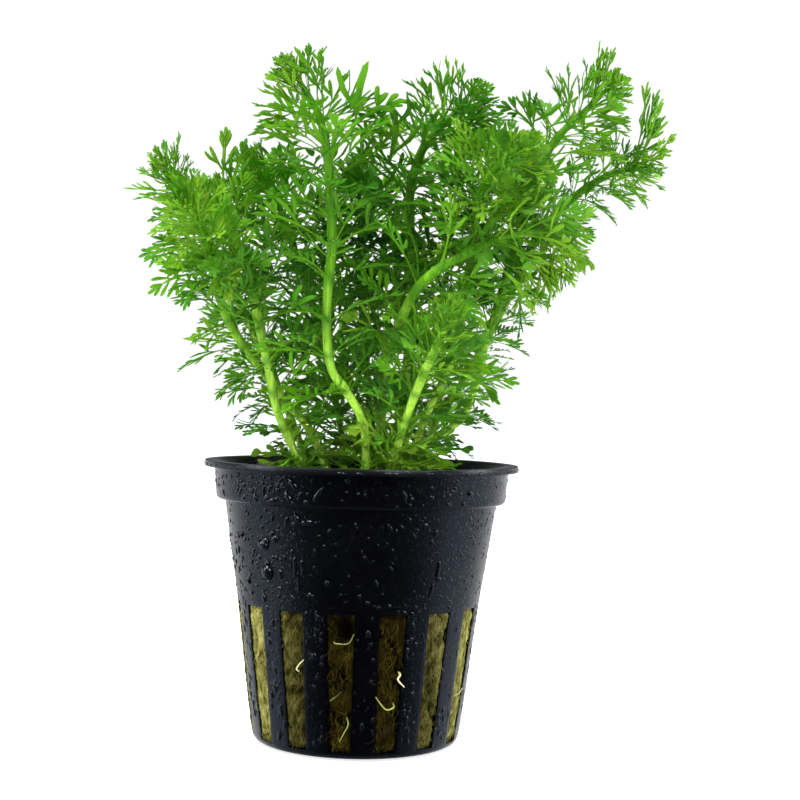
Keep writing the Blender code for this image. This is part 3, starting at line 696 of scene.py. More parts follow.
def turned_pot():
    profile = [Vector((r * MM, 0, z * MM)) for r, z in POT_INSIDE + POT_RIM + POT_OUTSIDE]
    bpy.ops.mesh.primitive_plane_add(size=MM, location=profile[0])
    pot = opened("pot")
    bpy.ops.mesh.merge(type="CENTER")
    for a, b in zip(profile, profile[1:]):
        bpy.ops.mesh.extrude_region_move(TRANSFORM_OT_translate={"value": b - a})
    bpy.ops.mesh.select_all(action="SELECT")
    bpy.ops.mesh.spin(steps=SLOTS * COLUMNS, angle=math.tau, center=(0, 0, 0), axis=(0, 0, 1))
    close_seams(0.005 * MM)
    return pot


def space_columns(pot):
    """Moves the columns of faces together, so that seven of each twelve lines run over or beside a slot."""
    points = points_of(pot)
    half = COLUMNS // 2
    inner = half // 2
    for index, (x, y, z) in enumerate(points):
        radius = math.hypot(x, y)
        if radius < 5 * MM:
            continue
        slot, column = divmod(round(math.atan2(y, x) / math.tau * SLOTS * COLUMNS) % (SLOTS * COLUMNS), COLUMNS)
        column -= half
        height = min(max(z / MM, SLOT_LOW), SLOT_HIGH)
        edge = math.asin(slot_width(height) / 2 / outside_radius(height))
        share = abs(column)
        if share <= inner:
            turn = edge * share / inner
        else:
            turn = edge + (SLOT_PITCH / 2 - edge) * (share - inner) / (half - inner)
        angle = SLOT_FIRST + slot * SLOT_PITCH + math.copysign(turn, column)
        points[index] = around(angle, radius, z)
    set_points(pot, points)


def open_slots(pot):
    low, high = SLOT_LOW * MM, SLOT_HIGH * MM
    for index in range(SLOTS):
        middle = SLOT_FIRST + index * SLOT_PITCH

        def in_slot(face):
            x, y, z = face.center
            off = math.remainder(math.atan2(x, -y) - middle, math.tau)
            edge = slot_width(z / MM) / 2 / outside_radius(z / MM)
            return low < z < high and abs(off) < edge and math.hypot(x, y) > 15.8 * MM

        choose(pot, in_slot, "polygons")
        bpy.ops.mesh.bridge_edge_loops()
        leave_edit()


def drain_holes(pot):
    drills = []
    for index in range(DRAINS):
        place = around(index * math.tau / DRAINS, DRAIN_RING * MM, 0.5 * MM)
        bpy.ops.mesh.primitive_cylinder_add(vertices=32, radius=DRAIN_RADIUS * MM, depth=4 * MM, location=place)
        drills.append(bpy.context.object)
    pick(drills[0])
    for drill in drills[1:]:
        drill.select_set(True)
    bpy.ops.object.join()
    apply_modifier(pot, "BOOLEAN", object=drills[0])
    bpy.data.objects.remove(drills[0])


def make_pot():
    deselect()
    pot = turned_pot()
    space_columns(pot)
    open_slots(pot)
    drain_holes(pot)
    apply_modifier(pot, "BEVEL", limit_method="ANGLE", angle_limit=math.radians(55), width=EDGE_BEVEL * MM,
                   segments=2)
    smooth(pot, 40)
    finish_piece(pot, black_plastic(), "pot_plastic", "net_pot")


def bead_shape(sides, rings):
    """A low dome with its underside closed, one unit across."""
    deselect()
    bpy.ops.mesh.primitive_uv_sphere_add(segments=sides, ring_count=rings, radius=0.5, location=(0, 0, 0))
    bead = opened("bead")
    underside = -0.12
    bpy.ops.mesh.select_all(action="SELECT")
    bpy.ops.mesh.bisect(plane_co=(0, 0, underside), plane_no=(0, 0, 1), clear_inner=True, use_fill=True)
    leave_edit()
    points, triangles = taken_shape(bead)
    points[:, 2] -= underside
    return points, triangles


def set_bead(shape, angle, height, width, length, lean, proud):
    """A bead bent to the wall's curve; a long one is narrower at its top."""
    points, triangles = shape
    turn = math.radians(lean)
    taper = 1.0 - 0.5 * points[:, 1] * (length > 1.5 * width)
    x = points[:, 0] * width * taper
    y = points[:, 1] * length
    across = x * math.cos(turn) + y * math.sin(turn)
    along = y * math.cos(turn) - x * math.sin(turn)
    off = points[:, 2] * proud - 0.03
    bent = angle + across / outside_radius(height)
    upright = height + along
    radii = wall_radius(OUTSIDE_WALL + FLANGE_EDGE, upright) + off
    return np.column_stack((radii * np.sin(bent), -radii * np.cos(bent), upright)) * MM, triangles


def clear_of_slots(angle, height, size):
    if height > SLOT_HIGH + 0.5 * size + 0.15:
        return True
    edge = (slot_width(height) / 2 + 0.6 * size + 0.1) / outside_radius(height)
    return abs(slot_offset(angle)) > edge and height > 2.3


def clear_of_drops(angle, height, size):
    for degrees, level, width, length, _ in DROPS:
        across = (angle - math.radians(degrees)) * outside_radius(height)
        if math.hypot(across, height - level) < 0.5 * max(width, length) + 0.4 * size:
            return False
    return True


def wetness(angle, height):
    """The share of places on the wall that hold a bead: fewest in front, most on the wettest patch."""
    if height < SLOT_HIGH:
        return float(np.interp(abs(angle), (0.0, 0.2, 0.5, 0.9), (0.14, 0.35, 0.95, 1.0)))
    if height > DRY_STEP[1] and WET_PATCH[0] < angle < WET_PATCH[1]:
        return 1.0
    return 0.24 + 0.76 * min(1.0, angle ** 2)


def make_wet_beads():
    shape = bead_shape(8, 5)
    drop = bead_shape(18, 10)
    dice = np.random.RandomState(41)
    beads = []
    for degrees, height, width, length, lean in DROPS:
        proud = 0.7 * min(width, length) + 0.14
        beads.append(set_bead(drop, math.radians(degrees), height, 1.1 * width, 1.1 * length, lean, proud))
    for _ in range(FLANGE_BEADS):
        beads.append(set_bead(shape, dice.uniform(-math.pi, math.pi), dice.uniform(*FLANGE_BEAD_HEIGHTS),
                              dice.uniform(0.35, 1.3), dice.uniform(0.3, 0.45), 0.0, 0.28))
    for _ in range(PATCH_BEADS):
        size = dice.uniform(0.3, 0.85)
        angle, height = dice.uniform(-0.95, -0.4), dice.uniform(*COLLAR_BEAD_HEIGHTS)
        length, lean = size * dice.uniform(0.8, 1.6), dice.uniform(-40, 40)
        if clear_of_drops(angle, height, size):
            beads.append(set_bead(shape, angle, height, size, length, lean, 0.45 * size))
    while len(beads) < BEADS:
        angle = dice.uniform(-math.pi, math.pi)
        height = dice.uniform(*WALL_BEAD_HEIGHTS)
        patch = noise.noise(Vector((angle * 2.2, height * 0.11, 3.0)))
        if dice.rand() > wetness(angle, height) * (0.75 + patch) or DRY_STEP[0] < height < DRY_STEP[1]:
            continue
        size = min(0.2 + 0.19 * dice.gamma(1.4), 1.0) * (0.65 if angle > 0.5 else 1.0)
        stretch = dice.uniform(0.8, 1.35)
        if height < SLOT_HIGH:
            stretch = dice.uniform(1.2, 2.3)
        if not clear_of_slots(angle, height, size) or not clear_of_drops(angle, height, size):
            continue
        length = size * stretch
        lean = dice.uniform(-35, 35)
        proud = 0.48 * size * float(np.interp(abs(angle), (0.9, 1.3), (1.0, 0.7)))
        beads.append(set_bead(shape, angle, height, size, length, lean, proud))
    made = joined("wet_beads", beads)
    smooth(made, 60)
    finish_piece(made, wet_drop(), "pot_plastic")


# Mineral wool


def dampness_and_shade(angle, height):
    """How wet and brown the wool is, partly painted shade: most in the slots in front, where the wool stands in
    shade, and in patches round the back.
    """
    if abs(angle) > 1.5:
        place = Vector((math.sin(angle) * 2.4, math.cos(angle) * 2.4, height * 0.05))
        return held(0.3 + noise.noise(place), 0.7)
    # in front this is partly painted shade: the wool in the slots facing the viewer is darkened most, as if in shade
    return float(np.interp(abs(math.degrees(angle)), (20, 32, 40, 48, 58, 66), (1.06, 0.88, 0.84, 0.5, 0.42, 0.22)))


def hollow(angle, height):
    """A hole in the wool at the top of one slot in front, dented in and darkened with painted shade."""
    return math.exp(-((angle + 0.10) * 12.0) ** 2 - ((height - 22.4) / 2.6) ** 2)


def packed_angle(angle, height):
    """Moves a column of the wool round, so that the same columns run down both edges of every slot."""
    half = WOOL_COLUMNS // SLOTS // 2
    column = round(math.degrees(angle - SLOT_FIRST)) % WOOL_COLUMNS
    slot, place = divmod(column + half, 2 * half)
    place -= half
    wall = inside_radius(height)
    edge = slot_width(height) / 2 / wall
    off = np.interp(abs(place), (0, 6, 7, 8, half), (0, edge - 0.06 / wall, edge - 0.03 / wall, edge + 0.02,
                                                     SLOT_PITCH / 2))
    return math.remainder(SLOT_FIRST + slot * SLOT_PITCH + math.copysign(off, place), math.tau)


def wall_wool(angle, height, lumps):
    """The radius, the painted shade of its creases, and the dampness with painted shade in front, of the wool against
    the wall, where it swells into the slots.
    """
    ruffle = noise.fractal(Vector((angle * 9, height * 0.16, 2.0)), 0.9, 2.1, 4)
    crease = noise.fractal(Vector((angle * 7 + height * 0.14, height * 0.24, 7.0)), 0.9, 2.0, 3)
    deep = max(0.0, -crease - 0.03) * float(np.interp(abs(angle), (0.75, 0.95), (1.0, 0.3)))
    wall, outside = inside_radius(height), outside_radius(height)
    off = slot_offset(angle)
    edge = slot_width(height) / 2 / wall - 0.045 / wall
    into = float(abs(off) < edge and SLOT_LOW < height < SLOT_HIGH + 0.5) * (1.0 - 0.3 * (off / edge) ** 4)
    ends = held((height - SLOT_LOW) / 1.2) * held(SLOT_HIGH + 0.6 - height)
    swell = (outside - wall + 0.1) * float(np.interp(abs(angle), (0.0, 0.9, 1.2, 1.35), (0.66, 1.06, 1.0, 0.2)))
    proud = wall - 0.2 + ends * into * (swell + 0.3 * ruffle) - 1.9 * deep * max(into, 0.1) + 0.16 * lumps
    limit = wall - 0.12 if into <= 0.05 else outside - 0.05
    hole = hollow(angle, height)
    # painted shade: deep creases and the hollow get a darkening weight
    return min(proud, limit) - 2.4 * hole, min(1.0, max(2.2 * deep, 1.3 * hole)), dampness_and_shade(angle, height)


def top_wool(x, y, z, lumps):
    """The height, the painted shade of its hollows and the dampness of the wool's top, which lies in low mounds."""
    mound = noise.fractal(Vector((x, y, 0.5)) * 230, 0.8, 2.0, 4)
    if z > 40 * MM:
        z += (0.55 * mound + 0.2 * lumps) * MM
    # painted shade: the wool between its mounds is darkened
    return z, held(-0.9 * mound, 0.7), held(0.4 - 0.5 * mound, 0.7)


def make_wool():
    deselect()
    bpy.ops.mesh.primitive_cylinder_add(vertices=WOOL_COLUMNS, radius=WOOL_RADIUS * MM, depth=WOOL_DEPTH * MM,
                                        end_fill_type="TRIFAN", location=(0, 0, WOOL_MIDDLE * MM))
    wool = opened("wool")
    for step in range(1, WOOL_RINGS):
        cut_across((0, 0, 1), (WOOL_LOW + WOOL_DEPTH * step / WOOL_RINGS) * MM)
    choose(wool, lambda face: face.center.z > (WOOL_TOP - 0.01) * MM, "polygons")
    for _ in range(WOOL_INSETS):
        bpy.ops.mesh.inset(thickness=WOOL_INSET * MM)
    leave_edit()
    points = points_of(wool)
    fold, damp = np.zeros((2, len(points)))
    for index, (x, y, z) in enumerate(points):
        radius = math.hypot(x, y) / MM
        angle = math.atan2(x, -y)
        lumps = noise.fractal(Vector((x, y, z)) * 900, 0.8, 2.0, 3)
        if radius > WOOL_RADIUS - 0.5:
            angle = packed_angle(angle, z / MM)
            radius, fold[index], damp[index] = wall_wool(angle, z / MM, lumps)
        else:
            radius *= 1.2
            z, fold[index], damp[index] = top_wool(x, y, z, lumps)
        points[index] = around(angle, radius * MM, z)
    set_points(wool, points)
    set_attribute(wool, "fold", fold)
    set_attribute(wool, "damp", damp)
    smooth(wool, 50)
    finish_piece(wool, olive_wool(), "mineral_wool", "wool_plug")


def strand_shape():
    """A thin straight strand, one unit long, in five stretches."""
    strand = unit_rod("strand", 0.5)
    for share in (0.2, 0.4, 0.6, 0.8):
        cut_across((1, 0, 0), share)
    leave_edit()
    return taken_shape(strand)


def bent_strand(shape, start, heading, out, length, thick, bend, sag):
    points, triangles = shape
    side = out.cross(heading).normalized()
    share = points[:, 0]
    taper = 1.0 - 0.55 * share
    run = np.outer(share * length, heading)
    sway = np.outer(bend * np.sin(share * math.pi) * length, side)
    lift = np.outer(sag * np.sin(share * math.pi) * length, out)
    width = np.outer(points[:, 1] * thick * taper, side) + np.outer(points[:, 2] * thick * taper, out)
    return np.array(start) + (run + sway + lift + width) * MM, triangles


def make_wool_fibres():
    shape = strand_shape()
    dice = np.random.RandomState(12)
    strands = []
    damp = []
    for _ in range(SLOT_FIBRES):
        slot = dice.randint(SLOTS)
        height = SLOT_LOW + 0.5 + (SLOT_HIGH - SLOT_LOW - 1.2) * dice.rand()
        if dice.rand() < 0.22:
            height = SLOT_LOW + abs(dice.normal(0, 0.9)) + 0.1
        off = dice.uniform(-0.9, 0.9) * slot_width(height) / 2 / outside_radius(height)
        angle = SLOT_FIRST + slot * SLOT_PITCH + off
        if hollow(math.remainder(angle, math.tau), height) > 0.3:
            continue
        out = around(angle, 1, 0)
        sideways = Vector((math.cos(angle), math.sin(angle), 0))
        steep = dice.normal(math.pi / 2, 0.55)
        heading = (sideways * math.cos(steep) + Vector((0, 0, math.sin(steep) * dice.choice((-1, 1))))
                   + out * dice.uniform(-0.05, 0.16)).normalized()
        length = dice.uniform(0.8, 2.6)
        if not SLOT_LOW + 0.1 < height + heading.z * length < SLOT_HIGH - 0.1:
            length *= 0.35
        radius = inside_radius(height) + 0.30 + 0.3 * dice.rand()
        start = around(angle, radius * MM, height * MM)
        strands.append(bent_strand(shape, start, heading, out, length, dice.uniform(0.05, 0.11),
                                   dice.uniform(-0.25, 0.25), dice.uniform(0.02, 0.16)))
        damp.append(dampness_and_shade(math.remainder(angle, math.tau), height))
    for _ in range(TOP_FIBRES):
        angle = dice.uniform(0, math.tau)
        radius = 22.0 * math.sqrt(dice.rand())
        heading = Vector((dice.normal(), dice.normal(), dice.uniform(0.0, 0.7))).normalized()
        start = around(angle, radius * MM, dice.uniform(WOOL_TOP - 0.5, WOOL_TOP + 0.2) * MM)
        strands.append(bent_strand(shape, start, heading, Vector((0, 0, 1)), dice.uniform(1.5, 4.0),
                                   dice.uniform(0.05, 0.11), dice.uniform(-0.3, 0.3), 0.1))
        damp.append(0.3)
    made = joined("wool_fibres", strands)
    set_attribute(made, "damp", np.repeat(damp, len(shape[0])))
    smooth(made, 60)
    finish_piece(made, wool_thread(), "mineral_wool")


def make_roots():
    skin = root_skin()
    for name, (thick, pale, route) in ROOTS.items():
        points = [around(math.radians(degrees), (outside_radius(height) + off) * MM, height * MM)
                  for degrees, height, off in route]
        line = smooth_line(points, 0.15 * MM)
        last = len(line) - 1
        radii = [thick * MM * (1.0 - 0.45 * (index / last) ** 2) * (1 + 0.08 * math.sin(index * 1.9))
                 for index in range(last + 1)]
        radii[-1] *= 0.4
        made = round_rod(name.replace("root", "living_root"), line, radii, 10)
        set_attribute(made, "pale", np.full(len(made.data.vertices), pale))
        smooth(made, 50)
        finish_piece(made, skin, "root", name)


# Stems


def stem_line(x, y, route):
    """A stem's line from its foot up, and how far each of its points is from the collar, in millimetres."""
    foot = Vector((x * FOOT_SPREAD, y * FOOT_SPREAD, FOOT_HEIGHT)) * MM
    collar = Vector((x, y, COLLAR_HEIGHT)) * MM
    steps = 12
    line = [foot.lerp(collar, index / steps) for index in range(steps)]
    line += smooth_line([collar] + [Vector(point) * MM for point in route], 0.9 * MM)
    gaps = [(b - a).length for a, b in zip(line, line[1:])]
    along = np.concatenate(([0.0], np.cumsum(gaps))) / MM
    return line, along - along[steps]


def joint_places(total, dice):
    """Distances from the collar to the leaf joints, closing up towards the growing tip."""
    places = []
    place = total - 0.2
    while place > 2.0:
        places.append(place)
        place -= JOINT_GAPS[min(len(places), len(JOINT_GAPS)) - 1] * dice.uniform(0.9, 1.1)
    lowest = 1.6
    return sorted(places + [lowest])


def make_stem(name, thick, line, along, joints, skin):
    share = np.clip(along / along[-1], 0, 1)
    radii = thick * np.interp(share, (0, 0.25, 0.6, 0.85, 1.0), (0.78, 0.82, 0.98, 0.8, 0.42))
    nearest = np.abs(along[:, None] - np.array(joints)[None]).min(axis=1)
    swollen = np.exp(-(nearest / 0.75) ** 2)
    radii = radii * (1 + 0.17 * swollen) * MM
    made = round_rod("grown_stem_" + name, line, radii, 14)
    points = points_of(made)
    path = np.array(line)
    which = np.array([np.argmin(((path - point) ** 2).sum(axis=1)) for point in points])
    set_attribute(made, "joint", swollen[which])
    set_attribute(made, "height_share", np.clip((points[:, 2] / MM - 50) / 40, 0, 1))
    smooth(made, 50)
    finish_piece(made, skin, "stem", "stem_" + name)


# Leaves


def blade_shape(rings):
    """One lobe of a leaf, a unit long and wide: flat above, keeled below, closed to a rounded tip."""
    blade = unit_rod("blade", 0.5774)
    bpy.ops.mesh.select_all(action="SELECT")
    bpy.ops.transform.rotate(value=math.pi / 2, orient_axis="X", center_override=(0, 0, 0))
    for share, _ in rings[1:]:
        cut_across((1, 0, 0), share)
    choose(blade, lambda v: v.co.x > 0.999)
    bpy.ops.mesh.merge(type="CENTER")
    for share, width in rings:
        choose(blade, lambda v: abs(v.co.x - share) < 0.001)
        bpy.ops.transform.resize(value=(1, width, width))
    leave_edit()
    points, triangles = taken_shape(blade)
    points[:, 2] -= np.interp(points[:, 0], [share for share, _ in rings] + [1.0],
                              [0.2887 * width for _, width in rings] + [0.0])
    return points, triangles


class Frond:
    """A leaf being put together from blades, one unit long, lying flat with its base at the origin."""

    def __init__(self, dice, broad, narrow, spine):
        self.dice, self.broad, self.narrow, self.spine = dice, broad, narrow, spine
        self.copies, self.ribs, self.unders = [], [], []

    def add(self, shape, base, heading, length, width, thick, lift, rib):
        """Copies a blade into the leaf, turned to its heading and curved up or down by its lift."""
        points, triangles = shape
        x = points[:, 0] * length
        y = points[:, 1] * width
        turn = heading * (1 - 0.22 * points[:, 0])
        z = points[:, 2] * thick + lift * (points[:, 0] ** 2) * length
        placed = np.column_stack((base[0] + x * np.cos(turn) - y * np.sin(turn),
                                  base[1] + x * np.sin(turn) + y * np.cos(turn), base[2] + z))
        self.copies.append((placed, triangles))
        self.ribs.append(np.full(len(points), rib) * (1 - 0.6 * points[:, 0]))
        self.unders.append((points[:, 2] < -0.02).astype(float))

    def tip_of(self, base, heading, length, share, lift):
        """Where a point part of the way along a blade lies."""
        turn = heading * (1 - 0.22 * share)
        reach = share * length
        return (base[0] + reach * math.cos(turn), base[1] + reach * math.sin(turn),
                base[2] + lift * share ** 2 * length)

    def branch(self, base, heading, length, width, forks):
        dice = self.dice
        lift = dice.uniform(-0.18, 0.3)
        self.add(self.broad, base, heading, length, width, width * 0.34, lift, 0.5)
        side = math.copysign(1, heading) if heading else 1
        for index in range(forks):
            share = 0.28 + 0.2 * index + dice.uniform(-0.05, 0.05)
            place = self.tip_of(base, heading, length, share, lift)
            turned = heading * (1 - 0.22 * share) + side * (-1) ** index * math.radians(dice.uniform(32, 46))
            size = length * (0.7 - 0.1 * index) * dice.uniform(0.85, 1.15)
            self.add(self.narrow, place, turned, size, width * 0.9, width * 0.3, dice.uniform(-0.2, 0.3), 0.25)

    def shape(self):
        return (*stacked(self.copies), np.concatenate(self.ribs), np.concatenate(self.unders))


def feathered_leaf(dice, blades, pairs, bare, reach, width, forks, opening):
    """A leaf on a bare stalk, with pairs of long branches, some of them forked, and a three-way end."""
    leaf = Frond(dice, *blades)
    leaf.add(leaf.spine, (0, 0, 0), 0.0, 0.9, width * 0.8, width * 0.4, 0.0, 1.0)
    for index in range(pairs):
        share = index / max(pairs - 1, 1)
        along = bare + (0.7 - bare) * share
        for side in (-1, 1):
            heading = side * math.radians(opening - 12 * share + dice.uniform(-6, 6))
            length = reach * (1.05 - 0.45 * share) * dice.uniform(0.86, 1.12)
            place = along + side * 0.015 + dice.uniform(-0.015, 0.015)
            leaf.branch((place, 0, 0), heading, length, width, forks[index])
    for side in (-1, 1):
        leaf.branch((0.83, 0, 0), side * math.radians(dice.uniform(26, 36)), 0.2 * dice.uniform(0.85, 1.1), width, 0)
    leaf.branch((0.85, 0, 0), math.radians(dice.uniform(-5, 5)), 0.22, width, 0)
    return leaf.shape()


def lobed_leaf(dice, blades, pairs, bare, reach, width):
    """A simpler leaf of broad rounded lobes, as low on the stems."""
    leaf = Frond(dice, *blades)
    leaf.add(leaf.spine, (0, 0, 0), 0.0, 0.9, width * 0.9, width * 0.32, 0.0, 0.8)
    for index in range(pairs):
        share = index / max(pairs - 1, 1)
        along = bare + (0.78 - bare) * share
        for side in (-1, 1):
            heading = side * math.radians(50 - 12 * share + dice.uniform(-6, 6))
            size = reach * (1 - 0.25 * share) * dice.uniform(0.85, 1.15)
            leaf.add(leaf.broad, (along + side * 0.015, 0, 0), heading, size, width * 1.15, width * 0.25,
                     dice.uniform(-0.1, 0.25), 0.35)
    leaf.add(leaf.broad, (0.74, 0, 0), 0.0, 0.26, width * 1.35, width * 0.26, 0.1, 0.3)
    return leaf.shape()


def leaf_patterns():
    dice = np.random.RandomState(8)
    broad = blade_shape([(0.0, 0.36), (0.3, 0.58), (0.68, 1.0), (0.9, 0.72)])
    narrow = blade_shape([(0.0, 0.42), (0.6, 1.0), (0.9, 0.7)])
    spine = blade_shape([(0.0, 1.4), (0.08, 0.75), (0.24, 0.5), (0.42, 0.62), (0.6, 1.1), (0.8, 0.95)])
    # How many patterns of each kind, how one is made, its pairs of branches, the share of its stalk that is bare,
    # the length and width of a branch, and then how many forks each pair has and how many degrees it opens
    plans = {
        "wide": (5, feathered_leaf, 3, 0.36, 0.47, 0.064, (1, 1, 0), 50),
        "slim": (5, feathered_leaf, 2, 0.42, 0.50, 0.066, (1, 1), 44),
        "spray": (5, feathered_leaf, 2, 0.40, 0.42, 0.074, (1, 0), 38),
        "comb": (3, feathered_leaf, 4, 0.30, 0.26, 0.058, (0, 0, 0, 0), 52),
        "lobed": (3, lobed_leaf, 2, 0.45, 0.30, 0.115),
        "young": (3, feathered_leaf, 2, 0.28, 0.46, 0.070, (1, 0), 34),
    }
    return {kind: [make(dice, (broad, narrow, spine), *plan) for _ in range(count)]
            for kind, (count, make, *plan) in plans.items()}


def grown_leaf(pattern, base, ahead, out, length, lean, curl, cup, twist, droop):
    """A copy of a leaf pattern at its joint: it leaves the stem at its lean and arches outwards by its curl."""
    points, triangles = pattern[:2]
    x, y, z = points[:, 0], points[:, 1], points[:, 2]
    steps = np.linspace(0, 1.15, 24)
    angles = lean + curl * steps ** 1.2
    gap = steps[1] - steps[0]
    middles = angles[:-1] + np.diff(angles) / 2
    forward = np.concatenate(([0], np.cumsum(np.cos(middles)))) * gap
    outward = np.concatenate(([0], np.cumsum(np.sin(middles)))) * gap
    x = np.clip(x, 0, 1.15)
    angle = np.interp(x, steps, angles)
    turn = twist * x
    cupped = z + cup * y * y * 2.2
    across = y * np.cos(turn) - cupped * np.sin(turn)
    above = y * np.sin(turn) + cupped * np.cos(turn)
    side = ahead.cross(out).normalized()
    reach_ahead = np.interp(x, steps, forward) + above * np.sin(angle)
    reach_out = np.interp(x, steps, outward) - above * np.cos(angle)
    local = np.outer(reach_ahead, ahead) + np.outer(reach_out, out) + np.outer(across, side)
    local[:, 2] -= droop * x ** 2
    return np.array(base) + local * length * MM, triangles


def rest_on_pot(points):
    """Keeps leaves above the rim and the wool that they lie on."""
    on_wool, on_rim, past_rim = 45.7, 49.3, -1000.0
    radius = np.hypot(points[:, 0], points[:, 1]) / MM
    lowest = np.where(radius > 29.0, past_rim, np.where(radius > 23.2, on_rim, on_wool)) * MM
    points[:, 2] = np.maximum(points[:, 2], lowest)
    return points


def stem_directions(line, index):
    before = line[max(index - 2, 0)]
    after = line[min(index + 2, len(line) - 1)]
    ahead = (after - before).normalized()
    side = Vector((1, 0, 0))
    side = (side - ahead * side.dot(ahead)).normalized()
    return ahead, side, ahead.cross(side)


def leaf_size(to_tip, from_collar):
    grown = np.interp(to_tip, (0, 1.2, 3, 5.5, 9, 14, 22), (4.6, 5.8, 7.9, 10.3, 12.7, 14.6, 14.8))
    return float(grown * np.interp(from_collar, (0, 3, 12, 30), (0.6, 0.7, 0.82, 1.0)))


def leaf_goals(name, joints, total):
    """The joints whose leaves have places of their own, each with the ends of those leaves."""
    goals = {}
    for to_tip, x, y, z in SET_LEAVES.get(name, []):
        nearest = min(joints, key=lambda joint: abs(total - joint - to_tip))
        goals.setdefault(nearest, []).append(Vector((x, y, z)) * MM)
    return goals


def aimed_leaf(base, ahead, end):
    """How a leaf has to leave its joint to end at a point: its direction, lean, curl and length."""
    reach = end - base
    forward = ahead.dot(reach)
    out = (reach - ahead * forward).normalized()
    chord = math.atan2(reach.dot(out), forward)
    curl = math.radians(float(np.interp(math.degrees(chord), (20, 60, 110), (8, 20, 40))))
    return out, chord - 0.48 * curl, curl, reach.length / MM / 1.05


def leaf_kind(dice, to_tip, joint):
    if to_tip < 5:
        return dice.choice(["young", "young", "slim"])
    if to_tip < 34:
        return dice.choice(["wide", "slim", "slim"])
    if joint > 9:
        return dice.choice(["wide", "slim", "comb", "comb"])
    return dice.choice(["comb", "lobed", "lobed"])


def leaf_tone(dice, middle, to_tip, joint, painted_light):
    """How light a leaf is, as painted light and shade: lighter near the outline and low down in front, darker inside
    the plant, with chance mixed in.
    """
    grown = np.interp(to_tip, (0, 6, 20, 50), (0.54, 0.50, 0.45, 0.40))
    # painted shade and light: leaves inside the plant are darker and those at the outline and top lighter
    outer = min(1.0, math.hypot((middle[0] - 2) / 30, max(0.0, middle[2] - 85) / 32))
    # painted light on the low leaves in front, which lie in the shadow of the foliage above
    low = 0.9 * max(0.0, 1.0 - joint / 10) * (middle[1] < 4)
    return np.clip(grown + 0.5 * (outer - 0.58) + painted_light + low + dice.normal(0, 0.17), 0.02, 0.97)


def make_leaves(name, thick, line, along, joints, patterns, skin, dice):
    total = along[-1]
    goals = leaf_goals(name, joints, total)
    copies = []
    looks = {"shade": [], "rib": [], "under": [], "cool": []}
    *shares, painted_light = LEAF_SHARES[name]
    start_turn = dice.uniform(0, math.tau)
    for joint in joints:
        index = int(np.argmin(np.abs(along - joint)))
        ahead, side, across = stem_directions(line, index)
        to_tip = total - joint
        size = leaf_size(to_tip, joint) * float(np.interp(to_tip, (2, 12, 28), shares))
        count = int(np.interp(to_tip, (0, 4, 12, 30), (6, 7, 9, 8)))
        lean = np.interp(to_tip, (0, 2, 5, 10, 20, 60), (8, 18, 32, 42, 50, 58))
        curl = np.interp(to_tip, (0, 2, 5, 10, 20, 60), (4, 14, 26, 34, 34, 26))
        start_turn += math.pi / count + dice.uniform(-0.1, 0.1)
        turns = [start_turn + math.tau * (leaf + dice.uniform(-0.16, 0.16)) / count for leaf in range(count)]
        outs = [side * math.cos(turn) + across * math.sin(turn) for turn in turns]
        ends = {}
        for end in goals.get(joint, []):
            free = [leaf for leaf in range(count) if leaf not in ends]
            if free:
                ends[max(free, key=lambda leaf: outs[leaf].dot(end - line[index]))] = end
        for leaf, out in enumerate(outs):
            kind = leaf_kind(dice, to_tip, joint)
            # Some leaves that face the viewer are left out, so that the stems in front show
            open_front = to_tip > 9 and joint > 6 and line[index].y < 4 * MM and -out.y > 0.72
            if leaf not in ends and open_front and dice.rand() < 0.4:
                continue
            base = line[index] + out * thick * 0.62 * MM + ahead * dice.uniform(-0.25, 0.25) * MM
            length = size * dice.uniform(0.84, 1.14)
            lean_now = math.radians(lean + dice.normal(0, 7))
            curl_now = math.radians(curl + dice.normal(0, 12))
            cup, twist, droop = dice.uniform(-0.1, 0.9), dice.normal(0, 0.35), dice.uniform(0.0, 0.14)
            if leaf in ends:
                out, lean_now, curl_now, length = aimed_leaf(base, ahead, ends[leaf])
                twist, droop = 0.3 * twist, 0.0
                kind = "spray" if length > 6 else "young"
            pattern = patterns[kind][dice.randint(len(patterns[kind]))]
            points, triangles = grown_leaf(pattern, base, ahead, out, length, lean_now, curl_now, cup, twist, droop)
            copies.append((rest_on_pot(points), triangles))
            tone = leaf_tone(dice, points.mean(axis=0) / MM, to_tip, joint, painted_light)
            looks["shade"].append(np.full(len(points), tone))
            # each leaf's random share of blue-green tint and painted sheen
            looks["cool"].append(np.full(len(points), dice.rand() ** 2))
            looks["rib"].append(pattern[2])
            looks["under"].append(pattern[3])
    made = joined("grown_leaves_" + name, copies)
    for look, values in looks.items():
        set_attribute(made, look, np.concatenate(values))
    smooth(made, 42)
    finish_piece(made, skin, "leaf", "leaves_" + name)


def make_plant():
    stem_green = stem_skin()
    leaf_green = leaf_skin()
    patterns = leaf_patterns()
    for number, (name, (thick, (x, y), route)) in enumerate(STEMS.items()):
        line, along = stem_line(x, y, route)
        joints = joint_places(float(along[-1]), np.random.RandomState(100 + number))
        make_stem(name, thick, line, along, joints, stem_green)
        make_leaves(name, thick, line, along, joints, patterns, leaf_green, np.random.RandomState(200 + number))


# Studio


def make_camera():
    turn = (Matrix.Rotation(-CAMERA_YAW, 4, "Z") @ Matrix.Rotation(math.pi / 2 - CAMERA_PITCH, 4, "X")
            @ Matrix.Rotation(CAMERA_ROLL, 4, "Z"))
    lens = bpy.data.cameras.new("camera")
    lens.lens = LENS
    lens.sensor_width = SENSOR
    lens.clip_start = 0.01
    camera = put("camera", lens)
    camera.matrix_world = Matrix.Translation(CAMERA_PLACE) @ turn
    bpy.context.scene.camera = camera


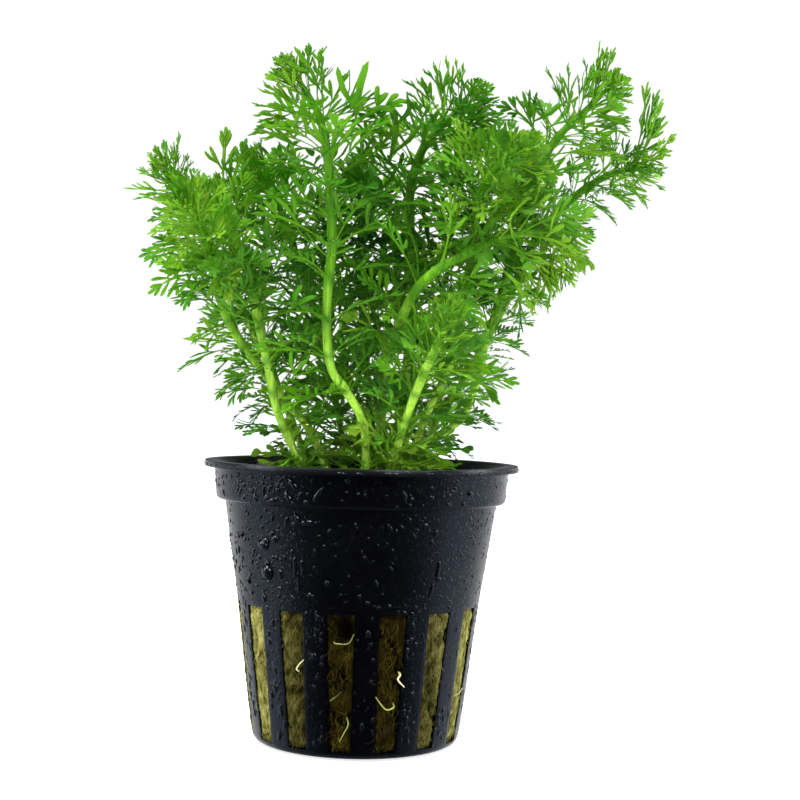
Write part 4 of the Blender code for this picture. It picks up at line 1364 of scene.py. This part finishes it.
def softbox(name, place, aim, wide, tall, watts, colour):
    light = bpy.data.lights.new(name, "AREA")
    light.shape = "RECTANGLE"
    light.size = wide
    light.size_y = tall
    light.energy = watts
    light.color = colour
    lamp = put(name, light)
    turn = (Vector(aim) - Vector(place)).to_track_quat("-Z", "Y")
    lamp.matrix_world = Matrix.Translation(place) @ turn.to_matrix().to_4x4()
    return lamp


def make_studio():
    lamps = {name: softbox(name, *look) for name, look in SOFTBOXES.items()}
    for name in ("sparkle_left", "sparkle_right"):
        lamps[name].visible_diffuse = False
        lamps[name].visible_transmission = False
    for name in ("fill", "mouth"):
        lamps[name].visible_glossy = False
    lamps["mouth"].data.spread = math.radians(14)
    world = bpy.data.worlds.new("studio")
    bpy.context.scene.world = world
    f = Finish(world)
    heading = f.node("TexCoord", output=0)
    depth = f.node("SeparateXYZ", {}, {0: heading}, 1)
    glow = f.ramp(0.5 + 0.5 * depth, [(0.0, (0.004, 0.005, 0.010)), (0.1, (0.018, 0.021, 0.034)),
                                      (0.2, (0.072, 0.088, 0.125)), (0.3, (0.15, 0.19, 0.26)),
                                      (0.41, (0.42, 0.51, 0.67)), (0.5, (0.50, 0.60, 0.80)),
                                      (0.72, (0.55, 0.64, 0.78)), (0.9, (0.95, 0.95, 0.97))])
    upward = f.node("SeparateXYZ", {}, {0: heading}, 2)
    mirrored = f.node("LightPath", output=3)
    above = f.steps(upward, 0.05, 0.14) * mirrored
    below = f.steps(upward, -0.5, -0.8) * mirrored
    dimmed = 1.0 - 0.88 * above - 0.7 * below
    lamp = f.node("Background", {}, {"Color": glow, "Strength": dimmed})
    backdrop = f.node("Background", {}, {"Color": rgb(1, 1, 1), "Strength": 1.05})
    seen = f.node("LightPath", output=0)
    mixed = f.node("MixShader", {}, {0: seen, 1: lamp, 2: backdrop})
    f.node("OutputWorld", {}, {"Surface": mixed})
    deselect()
    bpy.ops.mesh.primitive_circle_add(vertices=96, radius=3.0, fill_type="NGON", location=(0, 0, -0.0002))
    floor = bpy.context.object
    floor.name = "floor"
    apply_place(floor)
    floor.data.materials.append(pale_floor())
    floor.visible_glossy = False
    bpy.context.scene.view_settings.view_transform = "Standard"
    bpy.context.scene.view_settings.look = "None"


make_camera()
make_studio()
make_pot()
make_wet_beads()
make_wool()
make_wool_fibres()
make_roots()
make_plant()
